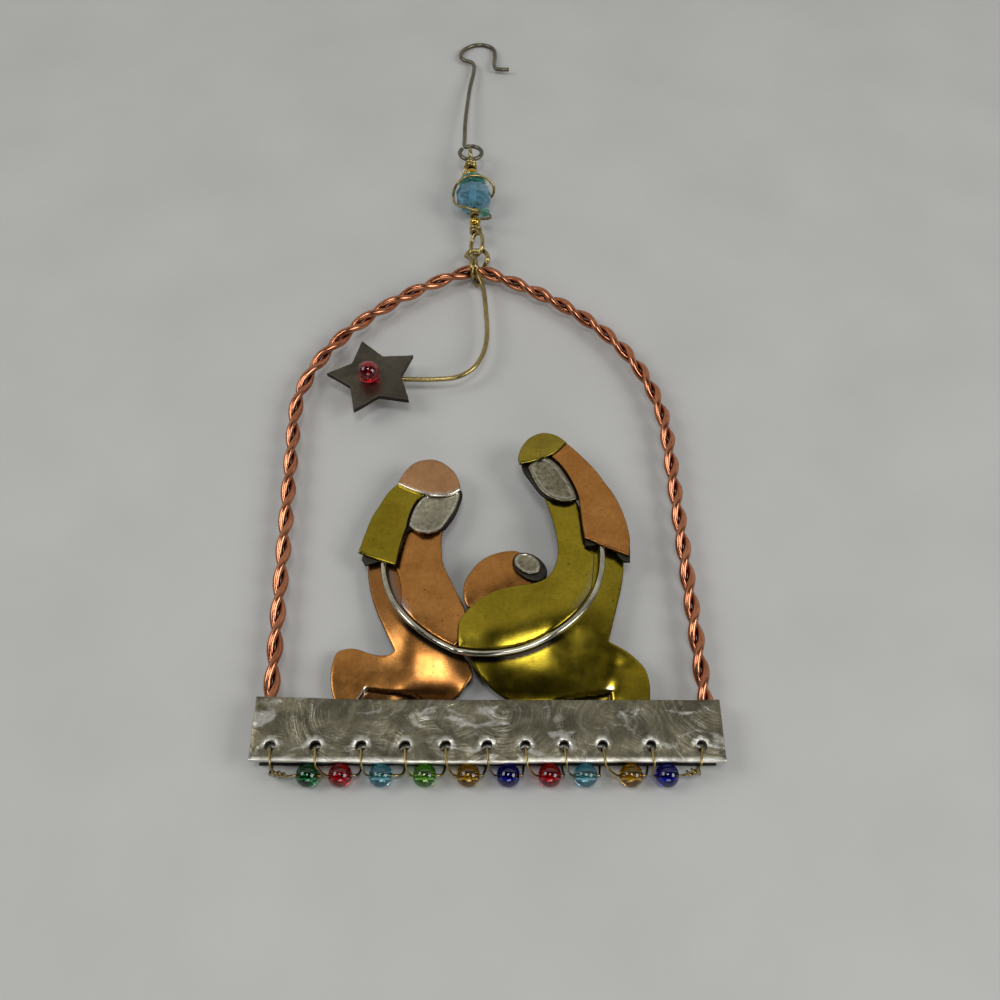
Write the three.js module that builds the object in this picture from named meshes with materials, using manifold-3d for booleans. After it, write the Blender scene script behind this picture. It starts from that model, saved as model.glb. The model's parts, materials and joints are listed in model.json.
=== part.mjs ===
// Metal nativity ornament: two domed figures with a child inside an arch of twisted copper wire.
// They stand on a bar laced with glass beads. A star hangs from the apex on a bent wire, and a
// beaded link joins the apex to the hanging hook.
// The ornament lies on its back: +Z is its front, +Y runs from the bar to the hook, +X is to the right.
// While it is drawn, x = 0 is the middle of the bar and y = 0 is the bar's upper edge. Millimetres.
import * as THREE from 'three';
import { mergeVertices } from 'three/addons/utils/BufferGeometryUtils.js';
import Module from 'manifold-3d';

const wasm = await Module();
wasm.setup();

// Bar
const BAR_LENGTH = 79.2;
const BAR_HEIGHT = 11.4;
const BAR_LOWER_EDGE = [[-0.5, 0.42], [-0.38, 0.27], [-0.1, 0], [0.03, 0], [0.13, 0.2], [0.5, 0.3]];
const BAR_UPPER_EDGE = [[0.5, -0.42], [-0.15, -0.42], [-0.28, -0.33], [-0.4, -0.05], [-0.5, 0.17]];
const BAR_PLATE = 0.7;
const BACK_PLATE_INSET = 1.0;
const BACK_PLATE_RISE = 0.9;
const HOLE_RADIUS = 1.0;
const HOLE_DROP = 8.5;
const HOLE_AT = [-0.457, -0.3625, -0.2665, -0.174, -0.0885, -0.0015, 0.0795, 0.1615, 0.2425, 0.3445, 0.451];

// Lacing wire and hanging beads
const LACING_RADIUS = 0.2;
const LACING_CLEARANCE = 0.06;
const BEAD_RADIUS = 2.0;
const BEAD_BORE_RADIUS = 0.5;
const BEAD_DROP = 12.6;
const BEAD_AT = [-0.379, -0.3105, -0.225, -0.1325, -0.0405, 0.044, 0.1315, 0.207, 0.303, 0.379];
const TABLE_CLEARANCE = 0.05;
const KNOT_TURNS = 2;

// Arch of two twisted wires
const STRAND_RADIUS = 0.71;
const STRAND_HELIX_RADIUS = 0.76;
const STRAND_CLEARANCE = 0.08;
const LEFT_TWIST_PITCH = 13.2;
const RIGHT_TWIST_PITCH = 12.4;
const FIRST_NECK = 6.4;
const FOOT_DEPTH = 4.9;
const APEX_X = -3.1;
const APEX_HEIGHT = 102.1;
const LEFT_FOOT_INSET = 2.2;
const RIGHT_FOOT_INSET = 1.8;
const LEFT_SHOULDER = [-39.9, 60.6];
const RIGHT_SHOULDER = [36.0, 53.1];
const LEFT_BEND = [[-40.5, 80.1], [-19.9, 96.1]];
const RIGHT_BEND = [[36.1, 81.2], [14.6, 93.9]];

// Figures: sheet metal, hammered into domes and stacked in layers
const SHEET = 0.5;
const SHEET_GAP = 0.12;
const GRID = 2.3;
const FOOT_TUCK = 2.4;
const CRADLE_X = 0.7;
const CRADLE_HEIGHT = 27.75;
const CRADLE_RADIUS = 20.3;
const CRADLE_WIRE_RADIUS = 0.55;
const CRADLE_WIRE_LIFT = 0.2;
const TORSO_INSET = 0.8;
const ROBE_LAP = 3.4;
const BEZEL_THICKNESS = 0.7;
const CHILD_FACE_THICKNESS = 0.4;

// Star on its wire
const STAR_WIRE_RADIUS = 0.5;
const WRAP_CLEARANCE = 0.15;
const EYE_HALF_WIDTH = 2.45;
const EYE_HEIGHT = 5.3;
const EYE_RISE = 0.5;
const STAR_WIRE_Z = 3.4;
const STAR_THICKNESS = 1.0;
const STAR_CLEARANCE = 0.1;
const STAR_BEAD_RADIUS = 2.3;

// Hanger
const LINK_WIRE_RADIUS = 0.45;
const LINK_WRAP_CLEARANCE = 0.08;
const LINK_LEAN = 3.8;
const LINK_CLIMB = 3.6;
const LOWER_LOOP_LENGTH = 6.2;
const LOWER_LOOP_WIDTH = 4.0;
const LOWER_LOOP_TWIST = 48;
const LOWER_LOOP_SLACK = 1.25;
const UPPER_LOOP_RADIUS = 1.7;
const THREAD_CLEARANCE = 0.15;
const THREAD_GAP = 0.12;
const LOWER_GOLD_RADIUS = 1.25;
const CRYSTAL_RADIUS = 4.15;
const CRYSTAL_LENGTH = 6.6;
const CRYSTAL_END_RADIUS = 2.3;
const CRYSTAL_BAND = 1.2;
const RONDELLE_RADIUS = 3.2;
const RONDELLE_LENGTH = 2.5;
const UPPER_GOLD_RADIUS = 1.5;
const CAGE_WIRE_RADIUS = 0.3;
const CAGE_COIL_LENGTH = 2.8;
const SEED_BEAD_RADIUS = 1.1;
const HOOK_WIRE_RADIUS = 0.5;
const HOOK_EYE_RADIUS = 2.65;
const HOOK_SLOPE = 4.6;

// Worked out from the sizes above. Holes and beads are set as shares of the bar's length.
const HOLE_X = HOLE_AT.map((share) => share * BAR_LENGTH);
const BEAD_X = BEAD_AT.map((share) => share * BAR_LENGTH);
const wireBehind = TABLE_CLEARANCE + LACING_RADIUS;
const backPlateZ = TABLE_CLEARANCE + 2 * LACING_RADIUS + TABLE_CLEARANCE;
const pairRadius = STRAND_HELIX_RADIUS + STRAND_RADIUS;
const slotHeight = 2 * (pairRadius + STRAND_CLEARANCE);
const archZ = backPlateZ + BAR_PLATE + slotHeight / 2;
const frontPlateZ = backPlateZ + BAR_PLATE + slotHeight;
const barFront = frontPlateZ + BAR_PLATE;
const wireInFront = barFront + LACING_CLEARANCE + LACING_RADIUS;
const beadZ = BEAD_RADIUS + TABLE_CLEARANCE;
const layerPitch = SHEET + SHEET_GAP;

// Materials
const metal = (color, roughness) => new THREE.MeshStandardMaterial({ color, roughness, metalness: 1 });
const glass = (color) => new THREE.MeshStandardMaterial({
  color, roughness: 0.08, metalness: 0, transparent: true, opacity: 0.75,
});
const copperWire = metal(0xb5714f, 0.25);
const copper = metal(0xa66b44, 0.3);
const brass = metal(0x8f7f2c, 0.3);
const brassWire = metal(0x8a7a3a, 0.3);
const gold = metal(0xb8911f, 0.2);
const tin = metal(0x9a978a, 0.45);
const darkSteel = metal(0x2c2824, 0.6);
const silver = metal(0xa3a296, 0.35);
const starSteel = metal(0x77736a, 0.5);
const hookSteel = metal(0x6b675a, 0.4);
const beadGlass = {
  green: glass(0x0e4a22), red: glass(0xa50c14), aqua: glass(0x6fb0c8),
  lightGreen: glass(0x5ca836), amber: glass(0xa08418), cobalt: glass(0x0a0f8c),
};
const BEAD_COLOURS = [
  'green', 'red', 'aqua', 'lightGreen', 'amber', 'cobalt', 'red', 'aqua', 'amber', 'cobalt',
];
const crystalGlass = glass(0x4f8fa8);
const tealGlass = glass(0x3f7f6a);

const ornament = new THREE.Group();

function add(name, geometry, material, parent = ornament) {
  const mesh = new THREE.Mesh(geometry, material);
  mesh.name = name;
  parent.add(mesh);
  return mesh;
}

// Shared geometry helpers
const vec2 = ([x, y]) => new THREE.Vector2(x, y);
const vec3 = ([x, y, z]) => new THREE.Vector3(x, y, z);
const along = (count, f) => Array.from({ length: count + 1 }, (_, i) => f(i / count));

function closed(geometry) {
  geometry.deleteAttribute('normal');
  geometry.deleteAttribute('uv');
  const merged = mergeVertices(geometry, 1e-4);
  merged.computeVertexNormals();
  return merged;
}

// A curve that spaces its steps by its own points, so that close points give a finer bend
class Route extends THREE.CatmullRomCurve3 {
  getPointAt(u, target) {
    return this.getPoint(u, target);
  }

  getTangentAt(u, target) {
    return this.getTangent(u, target);
  }
}

function circleShape(radius, sides) {
  const shape = new THREE.Shape();
  for (let i = 0; i < sides; i += 1) {
    const a = (2 * Math.PI * (i + 0.5)) / sides;
    if (i === 0) shape.moveTo(radius * Math.cos(a), radius * Math.sin(a));
    else shape.lineTo(radius * Math.cos(a), radius * Math.sin(a));
  }
  shape.closePath();
  return shape;
}

function sweep(path, radius, sides, steps) {
  return closed(new THREE.ExtrudeGeometry(circleShape(radius, sides), {
    steps, bevelEnabled: false, extrudePath: path,
  }));
}

const wire = (points, radius, sides, perPoint) => sweep(
  new Route(points.map(vec3), false, 'centripetal'), radius, sides, perPoint * (points.length - 1),
);

function bored(profile, bore, segments) {
  const [first] = profile;
  const last = profile[profile.length - 1];
  const ring = [[bore, first[1]], ...profile, [bore, last[1]], [bore, first[1]]];
  return closed(new THREE.LatheGeometry(ring.map(vec2), segments));
}

function roundBead(radius, bore, segments, rings) {
  const tilt = Math.acos((bore + 0.12) / radius);
  const profile = along(rings, (t) => {
    const a = tilt * (2 * t - 1);
    return [radius * Math.cos(a), radius * Math.sin(a)];
  });
  return bored(profile, bore, segments);
}

// An outline is a list of runs: each run is one smooth curve, and runs meet at corners
function outlineOf(runs, perPoint = 2) {
  const points = [];
  for (const run of runs) {
    const line = run.map(onCradle);
    const smooth = line.length > 2
      ? new THREE.SplineCurve(line).getPoints(perPoint * (line.length - 1))
      : line;
    for (const point of smooth) {
      const last = points[points.length - 1];
      if (!last || last.distanceTo(point) > 0.05) points.push(point);
    }
  }
  if (points[0].distanceTo(points[points.length - 1]) < 0.05) points.pop();
  return points;
}

// The figures are drawn in shares of the cradle's radius from its middle, where BAR_SHARE is the bar's top
const BAR_SHARE = -1.367;

function onCradle([u, v]) {
  const low = CRADLE_HEIGHT - CRADLE_RADIUS;
  const overBar = v - BAR_SHARE;
  const above = CRADLE_HEIGHT + v * CRADLE_RADIUS;
  const below = Math.max(overBar, 0) * (low / (-1 - BAR_SHARE)) + Math.min(overBar, 0) * CRADLE_RADIUS;
  return new THREE.Vector2(CRADLE_X + u * CRADLE_RADIUS, v > -1 ? above : below);
}

const arcRun = (radius, from, to, points) => along(points, (t) => {
  const a = THREE.MathUtils.degToRad(from + (to - from) * t);
  return [radius * Math.cos(a), radius * Math.sin(a)];
});

function distanceToLine(x, y, line) {
  let nearest = Infinity;
  for (let i = 1; i < line.length; i += 1) {
    const { x: ax, y: ay } = line[i - 1];
    const { x: bx, y: by } = line[i];
    const t = ((x - ax) * (bx - ax) + (y - ay) * (by - ay)) / ((bx - ax) ** 2 + (by - ay) ** 2);
    const s = Math.min(1, Math.max(0, t));
    nearest = Math.min(nearest, Math.hypot(x - ax - s * (bx - ax), y - ay - s * (by - ay)));
  }
  return nearest;
}

// The dome of a figure: a flat level with soft ridges along hand-set lines
function dome(level, ridges) {
  const lines = ridges.map((ridge) => ridge.line.map(onCradle));
  return (x, y) => ridges.reduce(
    (z, ridge, i) => z + ridge.height * Math.exp(-((distanceToLine(x, y, lines[i]) / ridge.width) ** 2)),
    level,
  );
}

function asSolid(geometry) {
  return new wasm.Manifold(new wasm.Mesh({
    numProp: 3,
    vertProperties: new Float32Array(geometry.attributes.position.array),
    triVerts: new Uint32Array(geometry.index.array),
  }));
}

function asGeometry(solid) {
  const mesh = solid.getMesh();
  const geometry = new THREE.BufferGeometry();
  geometry.setAttribute('position', new THREE.BufferAttribute(new Float32Array(mesh.vertProperties), 3));
  geometry.setIndex(new THREE.BufferAttribute(new Uint32Array(mesh.triVerts), 1));
  geometry.computeVertexNormals();
  return geometry;
}

// A slab that follows a dome, its bottom and top at the given heights above it
function slab(box, surface, bottom, top) {
  const x0 = Math.floor(box.min.x / GRID) - 1;
  const y0 = Math.floor(box.min.y / GRID) - 1;
  const nx = Math.ceil(box.max.x / GRID) + 1 - x0;
  const ny = Math.ceil(box.max.y / GRID) + 1 - y0;
  const position = [];
  const index = [];
  for (const lift of [bottom, top]) {
    for (let j = 0; j <= ny; j += 1) {
      for (let i = 0; i <= nx; i += 1) {
        const x = (x0 + i) * GRID;
        const y = (y0 + j) * GRID;
        position.push(x, y, surface(x, y) + lift);
      }
    }
  }
  const layer = (nx + 1) * (ny + 1);
  const at = (i, j, up) => up * layer + j * (nx + 1) + i;
  const quad = (a, b, c, d) => index.push(a, b, c, a, c, d);
  for (let j = 0; j < ny; j += 1) {
    for (let i = 0; i < nx; i += 1) {
      quad(at(i, j, 1), at(i + 1, j, 1), at(i + 1, j + 1, 1), at(i, j + 1, 1));
      index.push(at(i, j, 0), at(i + 1, j + 1, 0), at(i + 1, j, 0));
      index.push(at(i, j, 0), at(i, j + 1, 0), at(i + 1, j + 1, 0));
    }
  }
  for (let i = 0; i < nx; i += 1) {
    quad(at(i, 0, 0), at(i + 1, 0, 0), at(i + 1, 0, 1), at(i, 0, 1));
    quad(at(i + 1, ny, 0), at(i, ny, 0), at(i, ny, 1), at(i + 1, ny, 1));
  }
  for (let j = 0; j < ny; j += 1) {
    quad(at(0, j + 1, 0), at(0, j, 0), at(0, j, 1), at(0, j + 1, 1));
    quad(at(nx, j, 0), at(nx, j + 1, 0), at(nx, j + 1, 1), at(nx, j, 1));
  }
  const geometry = new THREE.BufferGeometry();
  geometry.setAttribute('position', new THREE.Float32BufferAttribute(position, 3));
  geometry.setIndex(index);
  return geometry;
}

// Sheet metal cut to an outline and hammered to a dome; layer 0 is the lowest sheet of the figure
function sheet(points, surface, layer, thickness = SHEET) {
  const box = new THREE.Box2().setFromPoints(points);
  const bottom = layer * layerPitch - SHEET;
  const prism = new THREE.ExtrudeGeometry(new THREE.Shape(points), { depth: 30, bevelEnabled: false });
  prism.translate(0, 0, -10);
  const cut = asSolid(slab(box, surface, bottom, bottom + thickness)).intersect(asSolid(closed(prism)));
  return asGeometry(cut);
}

// Bar
function barPlate(corners) {
  const shape = new THREE.Shape(corners.map(vec2));
  for (const x of HOLE_X) {
    const hole = new THREE.Path();
    hole.absarc(x, -HOLE_DROP, HOLE_RADIUS, 0, 2 * Math.PI);
    shape.holes.push(hole);
  }
  const extrusion = { depth: BAR_PLATE, curveSegments: 5, bevelEnabled: false };
  return closed(new THREE.ExtrudeGeometry(shape, extrusion));
}
const edgeLine = (edge, level) => edge.map(([share, rise]) => [share * BAR_LENGTH, level + rise]);
const backLow = BACK_PLATE_RISE - BAR_HEIGHT;
const backRight = BAR_LENGTH / 2 - BACK_PLATE_INSET;
const backCorners = [[-backRight, backLow], [backRight, backLow], [backRight, 0], [-backRight, 0]];
const frontCorners = [...edgeLine(BAR_LOWER_EDGE, -BAR_HEIGHT), ...edgeLine(BAR_UPPER_EDGE, 0)];
add('bar_back_plate', barPlate(backCorners), darkSteel).position.z = backPlateZ;
add('bar_front_plate', barPlate(frontCorners), tin).position.z = frontPlateZ;

// Lacing wire: out of each hole, over the lower edge, through a bead and up behind the bar
const edgeY = -BAR_HEIGHT - LACING_RADIUS - LACING_CLEARANCE;
const beadY = -BEAD_DROP;
const knotRadius = 2 * LACING_RADIUS + 0.05;
const overEdge = (x) => [
  [x, -HOLE_DROP - 0.1, wireBehind + 0.3],
  [x, -HOLE_DROP - 0.1, archZ],
  [x, -HOLE_DROP - 0.3, wireInFront - 0.25],
  [x + 0.1, -HOLE_DROP - 0.9, wireInFront],
  [x + 0.3, edgeY + 0.2, wireInFront],
  [x + 0.35, edgeY - 0.1, wireInFront - 0.3],
];
const throughBead = (x) => [
  [x - BEAD_RADIUS - 0.3, beadY, beadZ],
  [x, beadY, beadZ],
  [x + BEAD_RADIUS + 0.3, beadY, beadZ],
];
const upBehind = (x, bead) => [
  [Math.max(x - 0.6, bead + BEAD_RADIUS + 0.4), edgeY - 0.45, wireBehind + 0.9],
  [x - 0.2, edgeY + 0.9, wireBehind],
  [x, -HOLE_DROP - 0.6, wireBehind],
];
const turnsRound = (from, to, turns, startAngle) => along(8 * turns, (t) => {
  const a = startAngle + 2 * Math.PI * turns * t;
  const core = vec3(from).lerp(vec3(to), t);
  const across = vec3(to).sub(vec3(from)).normalize();
  const side = new THREE.Vector3(0, 0, 1).cross(across).normalize();
  const up = across.clone().cross(side);
  return core.addScaledVector(side, knotRadius * Math.cos(a)).addScaledVector(up, knotRadius * Math.sin(a))
    .toArray();
});
const firstHole = HOLE_X[0];
const lastHole = HOLE_X[HOLE_X.length - 1];
const startKnot = [[firstHole + 0.9, edgeY - 0.9, beadZ + 1.3], [firstHole + 2.3, edgeY - 1.2, beadZ + 0.5]];
const endKnot = [[lastHole - 2.5, edgeY - 0.9, beadZ + 0.6], [lastHole - 1.1, edgeY - 0.5, beadZ + 1.7]];
const lacing = [
  ...turnsRound(startKnot[1], startKnot[0], KNOT_TURNS, Math.PI / 2),
  [firstHole - 0.5, edgeY - 0.45, wireBehind + 0.6],
  [firstHole - 0.4, edgeY + 0.7, wireBehind],
  [firstHole - 0.1, -HOLE_DROP - 0.6, wireBehind],
  ...overEdge(firstHole),
  ...startKnot,
  ...throughBead(BEAD_X[0]),
];
for (let i = 1; i < BEAD_X.length; i += 1) {
  lacing.push(...upBehind(HOLE_X[i], BEAD_X[i - 1]), ...overEdge(HOLE_X[i]), ...throughBead(BEAD_X[i]));
}
lacing.push(
  ...endKnot,
  [lastHole - 0.5, edgeY - 0.1, wireInFront - 0.3],
  [lastHole - 0.4, edgeY + 0.2, wireInFront],
  [lastHole - 0.1, -HOLE_DROP - 0.9, wireInFront],
  [lastHole, -HOLE_DROP - 0.3, wireInFront - 0.25],
  [lastHole, -HOLE_DROP - 0.1, archZ],
  [lastHole, -HOLE_DROP - 0.2, wireBehind + 0.3],
  [lastHole + 0.1, -HOLE_DROP - 0.8, wireBehind],
  [lastHole + 0.1, edgeY + 0.7, wireBehind],
  [lastHole, edgeY - 0.45, wireBehind + 0.7],
  ...turnsRound(endKnot[1], endKnot[0], KNOT_TURNS, -Math.PI / 2),
);
add('lacing_wire', wire(lacing, LACING_RADIUS, 5, 1), brassWire);

BEAD_X.forEach((x, i) => {
  const bead = roundBead(BEAD_RADIUS, BEAD_BORE_RADIUS, 12, 6).rotateZ(Math.PI / 2);
  add(`hanging_bead_${i + 1}`, bead, beadGlass[BEAD_COLOURS[i]]).position.set(x, beadY, beadZ);
});

// Arch: two strands twisted round one centre line
const leftFoot = [LEFT_FOOT_INSET - BAR_LENGTH / 2, -FOOT_DEPTH];
const rightFoot = [BAR_LENGTH / 2 - RIGHT_FOOT_INSET, -FOOT_DEPTH];
const apex = [APEX_X, APEX_HEIGHT];
const archLine = new THREE.CurvePath();
archLine.add(new THREE.LineCurve(vec2(leftFoot), vec2(LEFT_SHOULDER)));
archLine.add(new THREE.CubicBezierCurve(...[LEFT_SHOULDER, ...LEFT_BEND, apex].map(vec2)));
const leftLength = archLine.getLength();
archLine.add(new THREE.CubicBezierCurve(...[apex, ...[...RIGHT_BEND].reverse(), RIGHT_SHOULDER].map(vec2)));
archLine.add(new THREE.LineCurve(vec2(RIGHT_SHOULDER), vec2(rightFoot)));
archLine.updateArcLengths();
const archLength = archLine.getLength();

class Strand extends THREE.Curve {
  constructor(phase) {
    super();
    this.phase = phase;
  }

  getPoint(t) {
    const s = t * archLength;
    const middle = archLine.getPointAt(t);
    const before = archLine.getPointAt(Math.max(0, t - 0.004));
    const after = archLine.getPointAt(Math.min(1, t + 0.004));
    const heading = after.sub(before).normalize();
    const left = Math.min(s, leftLength) - FOOT_DEPTH - FIRST_NECK;
    const right = Math.max(0, s - leftLength);
    const a = this.phase + 2 * Math.PI * (left / LEFT_TWIST_PITCH + right / RIGHT_TWIST_PITCH);
    const across = STRAND_HELIX_RADIUS * Math.sin(a);
    return new THREE.Vector3(
      middle.x + across * heading.y,
      middle.y - across * heading.x,
      archZ + STRAND_HELIX_RADIUS * Math.cos(a),
    );
  }

  getPointAt(u) {
    return this.getPoint(u);
  }

  getTangentAt(u) {
    return this.getTangent(u);
  }
}
const strandSteps = Math.round((8 * archLength) / LEFT_TWIST_PITCH);
add('arch_strand_a', sweep(new Strand(0), STRAND_RADIUS, 6, strandSteps), copperWire);
add('arch_strand_b', sweep(new Strand(Math.PI), STRAND_RADIUS, 6, strandSteps), copperWire);

// Copper figure
const copperDome = dome(2.3, [
  { line: [[-0.6010, -0.0369], [-0.6552, -0.2833], [-0.6453, -0.4310]], width: 6.8, height: 2.2 },
  { line: [[-0.6010, -0.8596], [-0.4680, -0.8596]], width: 8.5, height: 2.3 },
  { line: [[-0.6749, -1.3670], [-0.3547, -1.3670]], width: 3.0, height: -0.9 },
  { line: [[-1.2414, -1.0714], [-1.1429, -1.1404]], width: 4.0, height: 0.3 },
  { line: [[-0.5961, 0.8005], [-0.6010, 0.4557]], width: 5.0, height: 1.0 },
]);
const torsoEdge = 1 - TORSO_INSET / CRADLE_RADIUS;
const robeEdge = 1 - ROBE_LAP / CRADLE_RADIUS;
const footShare = BAR_SHARE - FOOT_TUCK / CRADLE_RADIUS;
const COPPER_ROBE = [
  [[-1.1330, 0.1108], [-1.1478, -0.0222], [-1.1379, -0.1700], [-1.0985, -0.3473], [-1.0394, -0.5197],
    [-0.9507, -0.7167], [-0.8473, -0.9286]],
  [[-0.8473, -0.9286], [-0.9113, -0.9581], [-1.0000, -0.9532], [-1.0887, -0.9236], [-1.1823, -0.8842],
    [-1.2611, -0.8744], [-1.3547, -0.9039], [-1.3892, -0.9877], [-1.3990, -1.1256], [-1.3793, -1.2586],
    [-1.3448, -1.3473]],
  [[-1.3448, -1.3473], [-1.3251, footShare]],
  [[-1.3251, footShare], [-0.3202, footShare]],
  [[-0.3202, footShare], [-0.3300, -1.3522], [-0.2759, -1.3030], [-0.2217, -1.2241], [-0.1724, -1.1453],
    [-0.1872, -1.0517], [-0.2562, -0.9532], [-0.2808, -0.7906]],
  arcRun(robeEdge, 250, 188, 6),
  [[-0.8325, -0.1059], [-0.8424, 0.1108]],
];
const COPPER_TORSO = [
  [[-0.4335, 0.3571], [-0.4581, 0.2783], [-0.4729, 0.1995], [-0.4680, 0.0862], [-0.4532, -0.0714],
    [-0.4039, -0.1897], [-0.3448, -0.3128], [-0.2857, -0.4310], [-0.2414, -0.5345], [-0.2414, -0.7020],
    [-0.2808, -0.8350], [-0.3251, -0.8990]],
  arcRun(torsoEdge, 250, 212, 6),
  [[-0.8128, -0.5000], [-0.8128, -0.4113], [-0.8374, -0.2537], [-0.8768, -0.1010], [-0.8473, 0.1108],
    [-0.7734, 0.3079], [-0.6256, 0.3818]],
];
const COPPER_BACKING = [
  [[-0.8719, 0.7956], [-0.7143, 0.9631], [-0.5567, 0.9778], [-0.3990, 0.8596], [-0.3054, 0.7315],
    [-0.2906, 0.6576], [-0.3251, 0.5197], [-0.3744, 0.3916], [-0.4433, 0.2734]],
  [[-0.4433, 0.2734], [-0.6010, 0.2488], [-0.7833, 0.2586], [-0.8818, 0.0222]],
  [[-0.8818, 0.0222], [-0.9951, -0.0369]],
  [[-0.9951, -0.0369], [-1.1626, -0.0813]],
  [[-1.1626, -0.0813], [-1.2020, -0.0172]],
  [[-1.2020, -0.0172], [-1.1626, 0.1897], [-1.0493, 0.4951], [-0.9507, 0.6921], [-0.8719, 0.7956]],
];
const COPPER_VEIL = [
  [[-0.8916, 0.8005], [-0.9901, 0.7020], [-1.0788, 0.5345], [-1.1429, 0.3966], [-1.1872, 0.2340],
    [-1.2365, 0.0419]],
  [[-1.2365, 0.0419], [-1.0640, -0.0369], [-0.8768, -0.1207]],
  [[-0.8768, -0.1207], [-0.8571, 0.0222], [-0.8276, 0.1847], [-0.7980, 0.2882]],
  [[-0.7980, 0.2882], [-0.7882, 0.3719], [-0.7537, 0.5000], [-0.7044, 0.5837], [-0.6478, 0.6281]],
  [[-0.6478, 0.6281], [-0.6453, 0.6970], [-0.7488, 0.7857], [-0.8916, 0.8005]],
];
const COPPER_FACE = [
  [[-0.7783, 0.2980], [-0.7340, 0.2537], [-0.6601, 0.2094], [-0.5616, 0.2094], [-0.4729, 0.2685],
    [-0.4089, 0.3719], [-0.3498, 0.5000], [-0.3153, 0.6330], [-0.3153, 0.6823]],
  [[-0.3153, 0.6823], [-0.4532, 0.6970], [-0.5764, 0.6724]],
  [[-0.5764, 0.6724], [-0.6798, 0.5837], [-0.7340, 0.4901], [-0.7685, 0.3719], [-0.7783, 0.2980]],
];
const COPPER_CAP = [
  [[-0.9015, 0.7611], [-0.8867, 0.8202], [-0.8325, 0.9187], [-0.7537, 1.0025], [-0.6502, 1.0369],
    [-0.5468, 1.0320], [-0.4433, 0.9729], [-0.3596, 0.8793], [-0.3153, 0.7709], [-0.3103, 0.6970]],
  [[-0.3103, 0.6970], [-0.3744, 0.6478], [-0.4532, 0.6182], [-0.5714, 0.6084], [-0.6946, 0.6478],
    [-0.8030, 0.7020], [-0.9015, 0.7611]],
];
add('copper_robe', sheet(outlineOf(COPPER_ROBE), copperDome, 0), copper);
add('copper_torso', sheet(outlineOf(COPPER_TORSO), copperDome, 1), copper);
add('copper_head_backing', sheet(outlineOf(COPPER_BACKING), copperDome, 2), darkSteel);
add('copper_head_veil', sheet(outlineOf(COPPER_VEIL), copperDome, 3), brass);
add('copper_head_face', sheet(outlineOf(COPPER_FACE), copperDome, 3), silver);
add('copper_head_cap', sheet(outlineOf(COPPER_CAP), copperDome, 4), copper);

// Brass figure
const brassDome = dome(3.8, [
  { line: [[0.6108, 0.1108], [0.6798, -0.0862], [0.6305, -0.3818]], width: 9.0, height: 1.9 },
  { line: [[0.0739, -0.7463], [0.4335, -0.7365]], width: 8.5, height: 2.6 },
  { line: [[0.0640, -1.3670], [0.6552, -1.3670]], width: 3.0, height: -0.9 },
  { line: [[0.7537, -1.2931], [0.9261, -1.2685]], width: 4.0, height: -1.2 },
  { line: [[1.0985, -1.1207], [1.1724, -1.2192]], width: 4.0, height: 0.4 },
  { line: [[0.4581, 1.0468], [0.5222, 0.8251], [0.5714, 0.6527]], width: 5.5, height: 0.9 },
]);
const BRASS_ROBE = [
  [[1.1773, 0.1355], [1.2020, -0.0074], [1.1872, -0.1847], [1.1478, -0.3768], [1.0887, -0.5887],
    [1.0197, -0.8448]],
  [[1.0197, -0.8448], [1.1527, -0.9138], [1.2562, -1.0025], [1.3251, -1.1010], [1.3498, -1.2192],
    [1.3448, -1.3374], [1.3350, footShare]],
  [[1.3350, footShare], [0.1576, footShare]],
  [[0.1576, footShare], [0.1527, -1.3571]],
  [[0.1527, -1.3571], [0.0148, -1.2734], [-0.0936, -1.1749], [-0.1675, -1.0764], [-0.2118, -0.9729],
    [-0.2217, -0.8153]],
  arcRun(robeEdge, 255, 360, 9),
  [[0.8374, 0.0123], [0.8522, 0.1355]],
];
const BRASS_TORSO = [
  [[0.4532, 0.7020], [0.5025, 0.5394], [0.5468, 0.3719], [0.5813, 0.1897], [0.5961, 0.0567],
    [0.5862, -0.0764], [0.5419, -0.1995], [0.4729, -0.2882], [0.3695, -0.3325], [0.2266, -0.3424],
    [0.0690, -0.3719], [-0.0837, -0.4409], [-0.1921, -0.5394], [-0.2709, -0.6429], [-0.2956, -0.7266],
    [-0.2956, -0.8300], [-0.2906, -0.9089]],
  arcRun(torsoEdge, 252, 336, 9),
  [[0.8867, -0.3719], [0.9163, -0.1404], [0.9261, -0.0172]],
  [[0.9261, -0.0172], [0.8522, 0.0271]],
  [[0.8522, 0.0271], [0.8670, 0.2094], [0.8128, 0.5049], [0.7044, 0.7020]],
];
const BRASS_BACKING = [
  [[0.2759, 0.9483], [0.2956, 0.8793], [0.3645, 0.7562], [0.4433, 0.6232], [0.5074, 0.5542]],
  [[0.5074, 0.5542], [0.6502, 0.5296], [0.8128, 0.5640]],
  [[0.8128, 0.5640], [0.8374, 0.2586], [0.8473, 0.0419]],
  [[0.8473, 0.0419], [0.9409, 0.0616]],
  [[0.9409, 0.0616], [0.9458, 0.1552]],
  [[0.9458, 0.1552], [1.0788, 0.1404]],
  [[1.0788, 0.1404], [1.1429, -0.0369]],
  [[1.1429, -0.0369], [1.1970, -0.0911]],
  [[1.1970, -0.0911], [1.2512, -0.0862]],
  [[1.2512, -0.0862], [1.2611, 0.1404], [1.2365, 0.3177], [1.1921, 0.4852], [1.1281, 0.6330],
    [0.9655, 0.8941], [0.8276, 1.0616], [0.6847, 1.1946], [0.4926, 1.2537], [0.3498, 1.1749],
    [0.2808, 1.0567], [0.2759, 0.9483]],
];
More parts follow.
